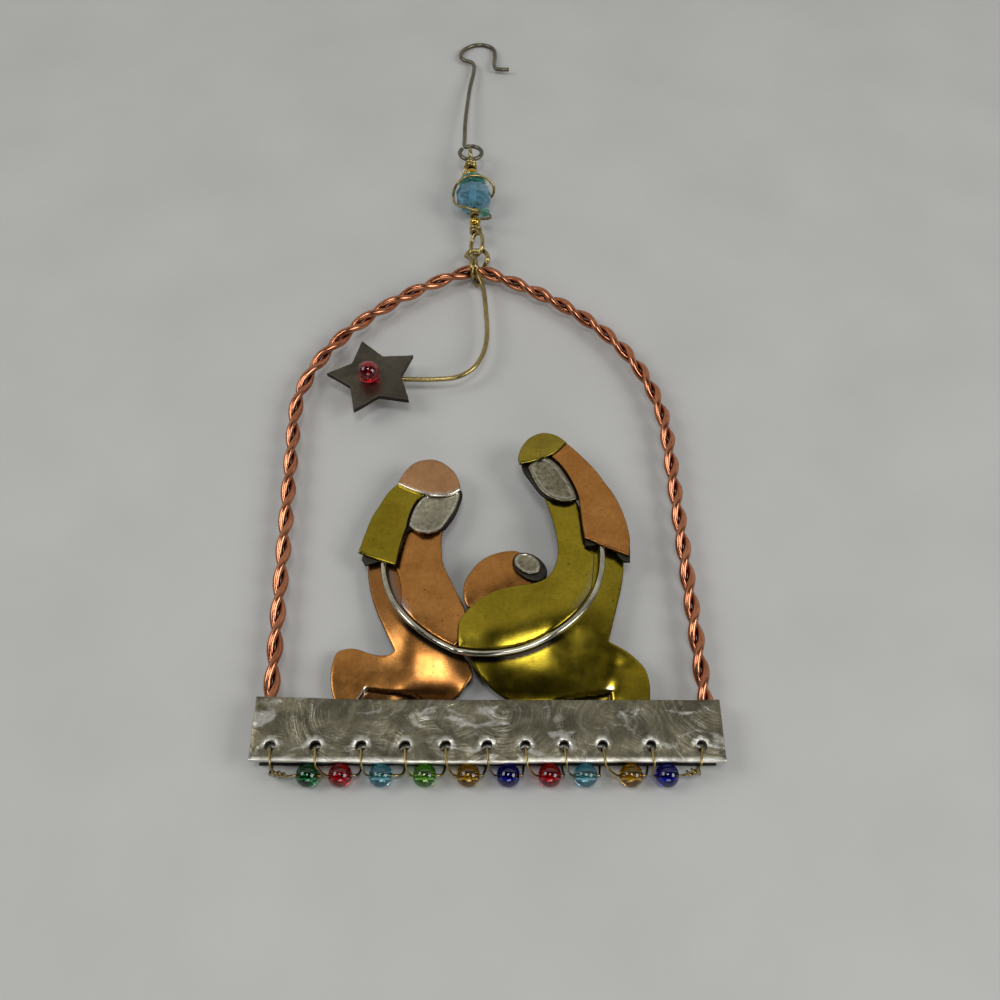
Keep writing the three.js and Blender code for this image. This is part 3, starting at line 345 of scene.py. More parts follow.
class Finish:
    """A procedural material while it is built. Lengths in it are millimetres."""

    def __init__(self, name, **settings):
        self.material = bpy.data.materials.new(name)
        self.material.use_nodes = True
        self.tree = self.material.node_tree
        self.shader = self.tree.nodes["Principled BSDF"]
        for key, value in settings.items():
            self.shader.inputs[key.replace("_", " ")].default_value = value
        place = self.node("TexCoord", output="Object")
        self.place = self.node("VectorMath", {"operation": "SCALE"}, {0: place, 3: 1 / MM})

    def node(self, kind, settings=None, inputs=None, output=0):
        return add_node(self.tree, kind, settings, inputs, output)

    def wire(self, name, value):
        self.tree.links.new(value, self.shader.inputs[name])

    def noise(self, scale, detail=2.0, stretch=None, distortion=0.0):
        vector = self.place
        if stretch:
            vector = self.node("VectorMath", {"operation": "MULTIPLY"}, {0: vector, 1: stretch})
        return self.node("TexNoise", None, {"Vector": vector, "Scale": scale, "Detail": detail,
                                            "Distortion": distortion})

    def span(self, value, low, high, to_low=0.0, to_high=1.0):
        return self.node("MapRange", None, {0: value, 1: low, 2: high, 3: to_low, 4: to_high})

    def mix(self, share, a, b):
        a, b = (c if isinstance(c, bpy.types.NodeSocket) else (*c, 1) for c in (a, b))
        return self.node("Mix", {"data_type": "RGBA"}, {0: share, 6: a, 7: b}, 2)

    def attribute(self, name):
        return self.node("Attribute", {"attribute_name": name}, output=2)

    def math(self, operation, a, b=0.0):
        return self.node("Math", {"operation": operation}, {0: a, 1: b})

    def bump(self, value, distance, strength=1.0, normal=None):
        inputs = {"Height": value, "Distance": distance * MM, "Strength": strength}
        if normal:
            inputs["Normal"] = normal
        return self.node("Bump", None, inputs)


PALE_AND_HIGHLIGHT = (0.95, 0.92, 0.82)
GAP_SHADE_COLOUR = (0.010, 0.008, 0.006)


def burnished(name, light, dark, tarnish, roughness, grain=0.6, solder=None, mottle=0.22):
    """Sheet or wire of one metal: cloudy colour, fine rubbing marks, darker cut edges, and the paler tone,
    painted highlights and painted shade that its piece's values call for.
    """
    f = Finish(name, Metallic=1)
    cloud = f.span(f.noise(0.16, 3, distortion=0.4), 0.35, 0.68)
    fine = f.span(f.noise(1.3, 3), 0.35, 0.7)
    colour = f.mix(cloud, light, dark)
    speck = f.span(f.noise(1.9, 1), 0.71, 0.76, 0, 0.75)
    colour = f.mix(speck, colour, tarnish)
    colour = f.mix(f.math("MULTIPLY", fine, mottle), colour, tarnish)
    colour = f.mix(f.attribute("rim"), colour, tarnish)
    if solder:
        colour = f.mix(f.attribute("solder"), colour, solder)
    # From the piece's values: paler tone and painted highlights, darker tone, painted shade and painted dark
    # reflections, and painted shade at edges and in gaps
    for key, paint in (("gleam", PALE_AND_HIGHLIGHT), ("shade", tarnish), ("painted_gap_shade", GAP_SHADE_COLOUR)):
        colour = f.mix(f.attribute(key), colour, paint)
    f.wire("Base Color", colour)
    f.wire("Roughness", f.span(f.noise(0.5, 4), 0.3, 0.7, roughness * 0.88, roughness * 1.15))
    rub = f.noise(2.2, 3, stretch=(0.5, 2.4, 1))
    dents = f.noise(0.3, 1)
    f.wire("Normal", f.bump(rub, 0.006, grain, f.bump(dents, 0.07, 0.5)))
    return f.material


TIN_PATCH = (0.80, 0.79, 0.72)
TIN_SCRATCH = (0.78, 0.76, 0.68)
TIN_HIGHLIGHT = (0.92, 0.90, 0.82)


def swirled(name, light, dark, tarnish):
    """Dull tinned sheet, polished by hand in large overlapping circles."""
    f = Finish(name, Metallic=1)
    marks = None
    for scale, shift in ((0.06, 0), (0.085, 37)):
        moved = f.node("VectorMath", {"operation": "ADD"}, {0: f.place, 1: (shift, shift, 0)})
        reach = f.math("DIVIDE", f.node("TexVoronoi", None, {"Vector": moved, "Scale": scale}), scale)
        spread = f.node("CombineXYZ", None, {0: reach, 1: f.math("MULTIPLY", f.noise(0.1), 1.5)})
        lines = f.node("TexNoise", None, {"Vector": spread, "Scale": 1.5, "Detail": 4, "Roughness": 0.75})
        patch = f.span(f.noise(0.12 + scale, 2), 0.42, 0.56)
        lines = f.math("MULTIPLY", f.span(lines, 0.34, 0.66, -1, 1), patch)
        marks = lines if marks is None else f.math("ADD", marks, lines)
    cloud = f.span(f.noise(0.2, 4, distortion=0.8), 0.34, 0.62)
    grit = f.span(f.noise(1.8, 4), 0.45, 0.75)
    gleam = f.span(f.noise(0.17, 3, stretch=(0.8, 1.6, 1), distortion=1.2), 0.58, 0.68)
    colour = f.mix(cloud, light, dark)
    colour = f.mix(f.math("MULTIPLY", gleam, 0.6), colour, TIN_PATCH)
    colour = f.mix(f.span(marks, 0, 1.2, 0, 0.55), colour, tarnish)
    colour = f.mix(f.span(marks, 0, -1.2, 0, 0.35), colour, TIN_SCRATCH)
    colour = f.mix(f.math("MULTIPLY", grit, 0.35), colour, tarnish)
    # Painted highlights where the piece's values ask for them
    colour = f.mix(f.attribute("gleam"), colour, TIN_HIGHLIGHT)
    f.wire("Base Color", colour)
    f.wire("Roughness", f.span(marks, -1, 1, 0.26, 0.42))
    dents = f.noise(0.12, 2, distortion=0.5)
    f.wire("Normal", f.bump(marks, 0.05, 0.5, f.bump(dents, 0.6, 0.5)))
    return f.material


def coloured_glass(name, colour, roughness=0.02, cloudy=0.0):
    """Clear or slightly milky glass with a faint waviness."""
    f = Finish(name, Roughness=roughness, IOR=1.5, Transmission_Weight=1.0 - cloudy, Coat_Weight=0.3)
    cloud = f.span(f.noise(0.5, 2.0), 0.3, 0.7)
    deeper = tuple(c * 0.8 for c in colour)
    f.wire("Base Color", f.mix(cloud, colour, deeper))
    f.wire("Normal", f.bump(f.noise(0.9, 1.0), 0.03, 0.3))
    return f.material


TARNISH = (0.035, 0.024, 0.016)
SOLDER = (0.27, 0.28, 0.31)
# Of each metal: its light colour, its dark colour, its tarnish, which also colours its painted shade, its
# roughness and what else differs
METALS = {
    "copper_sheet": ((0.588, 0.264, 0.071), (0.444, 0.18, 0.041), (0.104, 0.037, 0.014), 0.25,
                     {"solder": SOLDER}),
    "copper_wire": ((0.581, 0.238, 0.123), (0.44, 0.158, 0.079), (0.07, 0.016, 0.007), 0.2, {}),
    "brass_sheet": ((0.407, 0.311, 0.026), (0.311, 0.229, 0.016), (0.052, 0.041, 0.004), 0.21,
                    {"solder": SOLDER}),
    "brass_wire": ((0.44, 0.343, 0.132), (0.282, 0.211, 0.079), TARNISH, 0.26, {}),
    "gold_metal": ((0.634, 0.414, 0.053), (0.51, 0.317, 0.035), (0.106, 0.062, 0.009), 0.18, {}),
    "silver_sheet": ((0.518, 0.474, 0.326), (0.281, 0.252, 0.159), TARNISH, 0.32,
                     {"grain": 1.0, "mottle": 0.6}),
    "silver_wire": ((0.70, 0.67, 0.54), (0.36, 0.34, 0.25), TARNISH, 0.17, {"grain": 0.5}),
    "dark_steel": ((0.06, 0.052, 0.042), (0.03, 0.025, 0.02), (0.006, 0.005, 0.004), 0.5, {}),
    "star_steel": ((0.133, 0.118, 0.089), (0.067, 0.059, 0.044), TARNISH, 0.4, {"grain": 1.0}),
    "hook_steel": ((0.211, 0.194, 0.141), (0.123, 0.11, 0.079), TARNISH, 0.34, {}),
}
# Of each glass: its colour and, where it isn't quite clear, its roughness and its cloudiness
GLASSES = {
    "green_glass": [(0.01, 0.34, 0.09)],
    "red_glass": [(0.80, 0.01, 0.03)],
    "aqua_glass": [(0.36, 0.78, 0.92)],
    "light_green_glass": [(0.35, 0.75, 0.12)],
    "amber_glass": [(0.80, 0.52, 0.03)],
    "cobalt_glass": [(0.01, 0.02, 0.55)],
    "crystal_glass": [(0.20, 0.48, 0.64), 0.05, 0.3],
    "teal_glass": [(0.12, 0.48, 0.36), 0.08, 0.25],
}
finishes = {name: burnished(name, *colours, **others) for name, (*colours, others) in METALS.items()}
finishes["tinned_steel"] = swirled("tinned_steel", (0.29, 0.262, 0.172), (0.135, 0.122, 0.083),
                                   (0.03, 0.026, 0.019))
finishes.update({name: coloured_glass(name, *settings) for name, settings in GLASSES.items()})


def wire_piece(name, points, radius, slot, body="frame", place=DRAWING, per_span=8, sides=14, finish=None):
    """A round wire through the given points, in the finish of its slot or one of its own."""
    path = curve(points, per_span)
    mesh_points, faces = sweep(path, radius, sides)
    piece(name, "round" if name.endswith("wire") else "wire", mesh_points, faces, slot, body, place,
          finish=finish)


# Bar
BAR_LENGTH = 79.2
HOLE_AT = (-0.457, -0.3625, -0.2665, -0.174, -0.0885, -0.0015, 0.0795, 0.1615, 0.2425, 0.3445, 0.451)
HOLE_X = [share * BAR_LENGTH for share in HOLE_AT]
HOLE_DROP = 8.5
HOLE_RADIUS = 0.95
HOLE_SQUASH = 0.86
CUT_WOBBLE = 0.08
WARP = 0.09
DENT = 0.04
PUNCHED_RISE = 0.28
LOWER_EDGE = ((-0.5, 0.42), (-0.38, 0.27), (-0.1, 0.0), (0.03, 0.0), (0.13, 0.2), (0.5, 0.3))
UPPER_EDGE = ((0.5, -0.42), (-0.15, -0.42), (-0.28, -0.33), (-0.4, -0.05), (-0.5, BAR_LEFT_RISE))


def bar_plate(name, corners, z, slot, lift):
    """A plate with the row of punched holes. Lift says how much of the dents and burrs it has."""
    loop = outline([[corner] for corner in corners], 0.5)
    loop = loop + CUT_WOBBLE * np.stack([bumps(loop, 3.0, 1.5), bumps(loop, 4.0, 7.5)], axis=1)
    holes = [circle(x, -HOLE_DROP, HOLE_RADIUS, HOLE_RADIUS * HOLE_SQUASH, 10 * i, 24)
             for i, x in enumerate(HOLE_X)]

    def height(flat):
        level = z + BAR_PLATE + lift * WARP * bumps(flat, 7.0, 3.0) + lift * DENT * bumps(flat, 2.5, 9.0)
        for x in HOLE_X:
            reach = np.hypot(flat[:, 0] - x, flat[:, 1] + HOLE_DROP)
            upward = 0.5 + 0.5 * (flat[:, 1] + HOLE_DROP) / np.maximum(reach, 0.1)
            burr = np.exp(-(((reach - HOLE_RADIUS - 0.1) / 0.35) ** 2))
            level = level + lift * PUNCHED_RISE * upward * burr
        return level

    points, faces, values = sheet([loop, *holes], height, BAR_PLATE, 0.7, 0.15)
    # Painted highlights: a bright line along the lower edge, patchy along the bar, and a bright crescent on
    # the upper burr of each hole
    highlight_patches = np.clip(0.75 + 0.6 * bumps(points, 3.0, 5.0), 0, 1)
    shares, rises = zip(*LOWER_EDGE)
    edge_y = np.interp(points[:, 0] / BAR_LENGTH, shares, rises) - BAR_HEIGHT
    values["gleam"] = highlight_patches * (1 - smooth(points[:, 1] - edge_y, 0.1, 0.3))
    for x in HOLE_X:
        reach = np.hypot(points[:, 0] - x, points[:, 1] + HOLE_DROP)
        upward = smooth((points[:, 1] + HOLE_DROP) / np.maximum(reach, 0.1), -0.3, 0.5)
        burr = upward * np.exp(-(((reach - HOLE_RADIUS - 0.2) / 0.3) ** 2))
        values["gleam"] = np.maximum(values["gleam"], burr)
    piece(name, "sheet", points, faces, slot, values=values)


inset = BAR_LENGTH / 2 - 1.0
back_low = 0.9 - BAR_HEIGHT
front_corners = [(BAR_LENGTH * share, rise - BAR_HEIGHT) for share, rise in LOWER_EDGE]
front_corners += [(BAR_LENGTH * share, rise) for share, rise in UPPER_EDGE]
bar_plate("bar_front_plate", front_corners, FRONT_PLATE_Z, "tinned_steel", 1.0)
bar_plate("bar_back_plate", [(-inset, back_low), (inset, back_low), (inset, 0), (-inset, 0)], BACK_PLATE_Z,
          "dark_steel", 0.0)

# Lacing wire: out of each hole, over the lower edge, through a bead and up behind the bar
BEAD_AT = (-0.379, -0.3105, -0.225, -0.1325, -0.0405, 0.044, 0.1315, 0.207, 0.303, 0.379)
BEAD_X = [share * BAR_LENGTH for share in BEAD_AT]
BEAD_SLOTS = ("green", "red", "aqua", "light_green", "amber", "cobalt", "red", "aqua", "amber", "cobalt")
BEAD_Y = -12.6
BEAD_Z = 2.05
BEAD_RADIUS = 2.0
BEAD_BORE = 0.5
LACING_RADIUS = 0.2
WIRE_BEHIND = 0.25
IN_HOLE = -8.6
UNDER_HOLE = -9.4
BEHIND_HOLE = -9.1
KNOT_RADIUS = 0.45
WIRE_IN_FRONT = BAR_FRONT + 0.26
EDGE_Y = -BAR_HEIGHT - 0.26


def over_edge(x):
    """The lacing wire's way out of a hole and down over the lower edge."""
    return [(x, IN_HOLE, WIRE_BEHIND + 0.3), (x, IN_HOLE, ARCH_Z), (x, IN_HOLE - 0.2, WIRE_IN_FRONT - 0.25),
            (x + 0.1, UNDER_HOLE, WIRE_IN_FRONT), (x + 0.3, EDGE_Y + 0.2, WIRE_IN_FRONT),
            (x + 0.35, EDGE_Y - 0.1, WIRE_IN_FRONT - 0.3)]


def through_bead(x):
    return [(x + k * (BEAD_RADIUS + 0.3), BEAD_Y, BEAD_Z) for k in (-1, 0, 1)]


def up_behind(x, bead):
    """The lacing wire's way from a bead up behind the bar to the next hole."""
    return [(max(x - 0.6, bead + BEAD_RADIUS + 0.4), EDGE_Y - 0.45, WIRE_BEHIND + 0.9),
            (x - 0.2, EDGE_Y + 0.9, WIRE_BEHIND), (x, BEHIND_HOLE, WIRE_BEHIND)]


def turns_round(start, end, radius, turns, angle, count):
    """Turns of a wire round a line, for knots and wraps."""
    start, end = np.array(start, float), np.array(end, float)
    along = (end - start) / np.linalg.norm(end - start)
    side = np.cross((0, 0, 1), along)
    side /= np.linalg.norm(side)
    up = np.cross(along, side)
    angles = angle + 2 * pi * turns * np.linspace(0, 1, count)
    return [tuple(centre + radius * (side * cos(a) + up * sin(a)))
            for centre, a in zip(np.linspace(start, end, count), angles)]


first, last = HOLE_X[0], HOLE_X[-1]
start_knot = [(first + 0.9, EDGE_Y - 0.9, BEAD_Z + 1.3), (first + 2.3, EDGE_Y - 1.2, BEAD_Z + 0.5)]
end_knot = [(last - 2.5, EDGE_Y - 0.9, BEAD_Z + 0.6), (last - 1.1, EDGE_Y - 0.5, BEAD_Z + 1.7)]
lacing = turns_round(start_knot[1], start_knot[0], KNOT_RADIUS, 2, pi / 2, 17)
lacing += [(first - 0.5, EDGE_Y - 0.45, WIRE_BEHIND + 0.6), (first - 0.4, EDGE_Y + 0.7, WIRE_BEHIND),
           (first - 0.1, BEHIND_HOLE, WIRE_BEHIND)]
lacing += over_edge(first) + start_knot + through_bead(BEAD_X[0])
for hole, before, bead in zip(HOLE_X[1:], BEAD_X, BEAD_X[1:]):
    lacing += up_behind(hole, before) + over_edge(hole) + through_bead(bead)
lacing += end_knot + [
    (last - 0.5, EDGE_Y - 0.1, WIRE_IN_FRONT - 0.3), (last - 0.4, EDGE_Y + 0.2, WIRE_IN_FRONT),
    (last - 0.1, UNDER_HOLE, WIRE_IN_FRONT), (last, IN_HOLE - 0.2, WIRE_IN_FRONT - 0.25),
    (last, IN_HOLE, ARCH_Z), (last, IN_HOLE - 0.1, WIRE_BEHIND + 0.3),
    (last + 0.1, BEHIND_HOLE - 0.2, WIRE_BEHIND), (last + 0.1, EDGE_Y + 0.7, WIRE_BEHIND),
    (last, EDGE_Y - 0.45, WIRE_BEHIND + 0.7)]
lacing += turns_round(end_knot[1], end_knot[0], KNOT_RADIUS, 2, -pi / 2, 17)
wire_piece("lacing_wire", lacing, LACING_RADIUS, "brass_wire", per_span=5, sides=10)


def bead_profile(radius, bore, count=18):
    """The closed profile of a round bead with a bore."""
    tilt = acos((bore + 0.1) / radius)
    round_part = [(radius * cos(tilt * t), radius * sin(tilt * t)) for t in np.linspace(-1, 1, count)]
    top = round_part[-1][1]
    return [(bore, -top + 0.05), *round_part, (bore, top - 0.05)]


def bead(name, profile, segments, slot, body, place, sharp=50):
    points, faces = lathe(profile, segments)
    piece(name, "glass" if "glass" in slot else "polished", points, faces, slot, body, place, sharp)


for i, (x, colour) in enumerate(zip(BEAD_X, BEAD_SLOTS), 1):
    place = DRAWING @ Matrix.Translation((x, BEAD_Y, BEAD_Z)) @ Matrix.Rotation(pi / 2, 4, "Z")
    bead(f"hanging_bead_{i}", bead_profile(BEAD_RADIUS, BEAD_BORE), 36, colour + "_glass",
         f"hanging_bead_{i}", place)

# Arch: two strands of copper wire twisted round one centre line
STRAND_RADIUS = 0.73
HELIX_RADIUS = 0.76
LEFT_PITCH = 13.2
RIGHT_PITCH = 12.4
FIRST_NECK = 6.4
FOOT_DEPTH = 4.9
APEX = (-3.1, 102.1)
ARCH_STEPS = 760
ARCH_SMOOTHING = 9
STRAND_SIDES = 16
LEFT_SIDE = ((-37.4, -FOOT_DEPTH), (-39.9, 60.6), (-40.5, 80.1), (-19.9, 96.1), APEX)
RIGHT_SIDE = ((37.8, -FOOT_DEPTH), (36.0, 53.1), (36.1, 81.2), (14.6, 93.9), APEX)


def leg(side):
    """A straight leg, then a bend up to the apex with two control points."""
    foot, shoulder, c1, c2, top = (np.array(p, float) for p in side)
    t = np.linspace(0, 1, 160)[1:, None]
    bend = (1 - t) ** 3 * shoulder + 3 * (1 - t) ** 2 * t * c1 + 3 * (1 - t) * t**2 * c2 + t**3 * top
    return np.vstack([foot, shoulder, bend])


left_leg = leg(LEFT_SIDE)
arch = np.vstack([left_leg, leg(RIGHT_SIDE)[::-1][1:]])
arch_at = np.concatenate([[0], np.cumsum(np.linalg.norm(np.diff(arch, axis=0), axis=1))])
left_length = arch_at[len(left_leg) - 1]
steps = np.linspace(0, arch_at[-1], ARCH_STEPS)
middle = np.stack([np.interp(steps, arch_at, arch[:, k]) for k in (0, 1)], axis=1)
ahead = np.stack([np.convolve(np.pad(np.gradient(middle[:, k]), ARCH_SMOOTHING // 2, "edge"),
                              np.ones(ARCH_SMOOTHING) / ARCH_SMOOTHING, "valid") for k in (0, 1)], axis=1)
ahead /= np.linalg.norm(ahead, axis=1)[:, None]
twist = 2 * pi * ((np.minimum(steps, left_length) - FOOT_DEPTH - FIRST_NECK) / LEFT_PITCH
                  + np.maximum(steps - left_length, 0) / RIGHT_PITCH)
for letter, phase in (("a", 0.0), ("b", pi)):
    across = HELIX_RADIUS * np.sin(twist + phase)
    path = np.stack([middle[:, 0] + across * ahead[:, 1], middle[:, 1] - across * ahead[:, 0],
                     ARCH_Z + HELIX_RADIUS * np.cos(twist + phase)], axis=1)
    points, faces = sweep(path, STRAND_RADIUS, STRAND_SIDES)
    centre = np.repeat(np.vstack([middle[:1], middle, middle[-1:]]), STRAND_SIDES, axis=0)
    centre = np.column_stack([centre, np.full(len(centre), ARCH_Z)])
    reach = np.linalg.norm(points - centre, axis=1)
    # Painted shade where the two strands lie against each other, darkest towards their shared centre line
    shade = np.clip(1.15 - reach / 0.85, 0, 1) ** 1.2
    piece(f"arch_strand_{letter}", "round", points, faces, "copper_wire", values={"shade": shade})

# Figures
SHEET = 0.5
LAYER = 0.62
UNEVEN = 0.02
PANEL_DEPTH = 0.14
FOLD_DROP = 0.6
FOLD_SHADE = 0.8
CRADLE_X, CRADLE_Y, CRADLE_RADIUS = 0.7, 27.75, 20.3
CRADLE_WIRE = 0.55
CRADLE_LIFT = 0.2
TORSO_EDGE = CRADLE_RADIUS - 0.8
ROBE_EDGE = CRADLE_RADIUS - 3.4
TUCK = -2.4


def dome(level, ridges):
    """A flat level with soft ridges along given lines, as in the solids."""
    spines = [(curve(line, 6, centripetal=False) if len(line) > 2 else np.array(line, float), width, rise)
              for line, width, rise in ridges]

    def height(flat):
        z = np.full(len(flat), float(level))
        for spine, width, rise in spines:
            z += rise * np.exp(-((line_distance(flat, spine) / width) ** 2))
        return z

    return height


DOMES = {
    "copper": dome(2.3, [
        ([(-11.5, 27), (-12.6, 22), (-12.4, 19)], 6.8, 2.2),
        ([(-12, 9.6), (-9.2, 9.6)], 8.3, 2.35),
        ([(-13, -0.6), (-6.5, -0.6)], 2.4, -0.9),
        ([(-24.5, 6), (-22.5, 4.6)], 4, 0.3),
        ([(-11.4, 44), (-11.5, 37)], 5, 1)]),
    "brass": dome(3.8, [
        ([(13.1, 30), (14.5, 26), (13.5, 20)], 9, 1.9),
        ([(3.4, 12), (9.3, 12.2)], 8.6, 2.6),
        ([(-1, 3.4), (3, 0.6)], 3.5, -0.5),
        ([(2, -0.8), (18.5, -0.8)], 3.5, -1.3),
        ([(21.6, 1), (22.4, 5.5)], 2.8, -0.6),
        ([(23, 5), (24.5, 3)], 4, 0.2),
        ([(10, 49), (11.3, 44.5), (12.3, 41)], 5.5, 0.9)]),
    "child": dome(4.5, [([(-1, 21), (6, 25)], 4.5, 0.8)]),
}


def under(flat, line, fade):
    """Whether each point lies under an open line, from 0 to 1 and softly, fading out at its ends."""
    line = np.array(line, float)
    drop = np.interp(flat[:, 0], line[:, 0], line[:, 1]) - flat[:, 1]
    ends = smooth(flat[:, 0], line[0, 0] - 0.1, line[0, 0] + fade[0])
    ends = ends * (1 - smooth(flat[:, 0], line[-1, 0] - fade[1], line[-1, 0] + 0.1))
    return smooth(drop, 0.0, 0.5) * ends


# Of each robe's fold: the line it starts from, and how far it fades out at that line's two ends
copper_fold = ([(-22.6, 0.4), (-21.2, 2.6), (-17.1, 2), (-13.3, 1.8), (-12.1, 1), (-11, 0.2)], (0.1, 1))
brass_fold = ([(11.2, 0.3), (16, 1.2), (21.4, 2)], (1.5, 0.1))


def round_cradle(flat):
    """How far each point lies outside the cradle wire, and at which angle."""
    dx, dy = flat[:, 0] - CRADLE_X, flat[:, 1] - CRADLE_Y
    return np.hypot(dx, dy) - CRADLE_RADIUS, np.degrees(np.arctan2(dy, dx)) % 360


def solder_beside_wire(flat, start, end, strength):
    """A grey smear of solder along the inner side of the cradle wire, between two angles."""
    reach, angle = round_cradle(flat)
    near = np.clip(1 + (reach + 0.7) / 1.5, 0, 1) * (1 - smooth(reach, 0, 0.6))
    span = np.clip((angle - start) / 6, 0, 1) * np.clip((end - angle) / 6, 0, 1)
    return strength * near * span * (0.75 + 0.25 * bumps(flat, 1.2, 4.0))


def shade_under_wire(flat):
    """Painted shade: a dark band where a robe runs on below the cradle wire."""
    reach, angle = round_cradle(flat)
    band = smooth(reach, -0.6, -0.3) * (1 - smooth(reach, 1.0, 1.5))
    return band * smooth(angle, 205, 225) * (1 - smooth(angle, 300, 320))


def near_line(flat, line, width):
    """A soft band along an open line: 1 on it and fading out over the given width."""
    return np.exp(-((line_distance(flat, np.array(line, float)) / width) ** 2))


def figure_sheet(name, layer, slot, thickness=SHEET, lift=0.0, solder=None, fold=None, panel=None,
                 pitch=0.55, tone_and_shade=0.0, pale=0.0, painted_highlight_line=None, painted_dark_reflection=None):
    """One sheet of a figure on its dome, with values for the finish: marks of its making, darker tone,
    painted shade, painted dark reflections and painted highlights.
    """
    surface = DOMES[name.split("_")[0]]
    seed = 1 + list(OUTLINES).index(name)
    loop = OUTLINES[name]
    if isinstance(loop, list):
        loop = outline(loop)

    def height(flat):
        z = surface(flat) + layer * LAYER + thickness - SHEET + lift + UNEVEN * bumps(flat, 5.0, seed)
        if fold:
            z = z - FOLD_DROP * under(flat, *fold)
        if panel:
            z = z - PANEL_DEPTH * smooth(loop_distance(flat, [loop]), *panel)
        return z

    points, faces, values = sheet([loop], height, thickness, pitch)
    flat = points[:, :2]
    # Painted shade below the fold and in the band under the cradle wire
    if fold:
        hollow_shade = np.maximum(FOLD_SHADE * under(flat, *fold), shade_under_wire(flat))
        values["painted_gap_shade"] = np.maximum(values["painted_gap_shade"], hollow_shade)
        # Painted shade: the robe is darker towards its top, standing in for a darker reflection; other pieces
        # get an even darker tone
        values["shade"] = tone_and_shade * smooth(points[:, 1], 10, 16)
    elif tone_and_shade:
        values["shade"] = np.full(len(points), tone_and_shade)
    # Painted dark reflection: a soft dark band along a line, beside a bright spot
    if painted_dark_reflection:
        spine, width, strength = painted_dark_reflection
        values["shade"] = np.maximum(values.get("shade", 0.0), strength * near_line(flat, spine, width))
    if solder:
        values["solder"] = solder_beside_wire(flat, *solder)
    values["gleam"] = np.full(len(points), pale)
    # Painted highlight along the step round the panel
    if panel:
        values["gleam"] += 0.55 * np.exp(-(((loop_distance(flat, [loop]) - panel[1]) / 0.12) ** 2))
    # Painted highlight along a line, with the darker cut edge and the painted edge shade taken off under it
    if painted_highlight_line:
        near = near_line(flat, painted_highlight_line, 0.25)
        values["gleam"] = np.maximum(values["gleam"], near)
        for key in ("rim", "painted_gap_shade"):
            values[key] = values[key] * (1 - near)
    piece(name, "sheet", points, faces, slot, values=values)


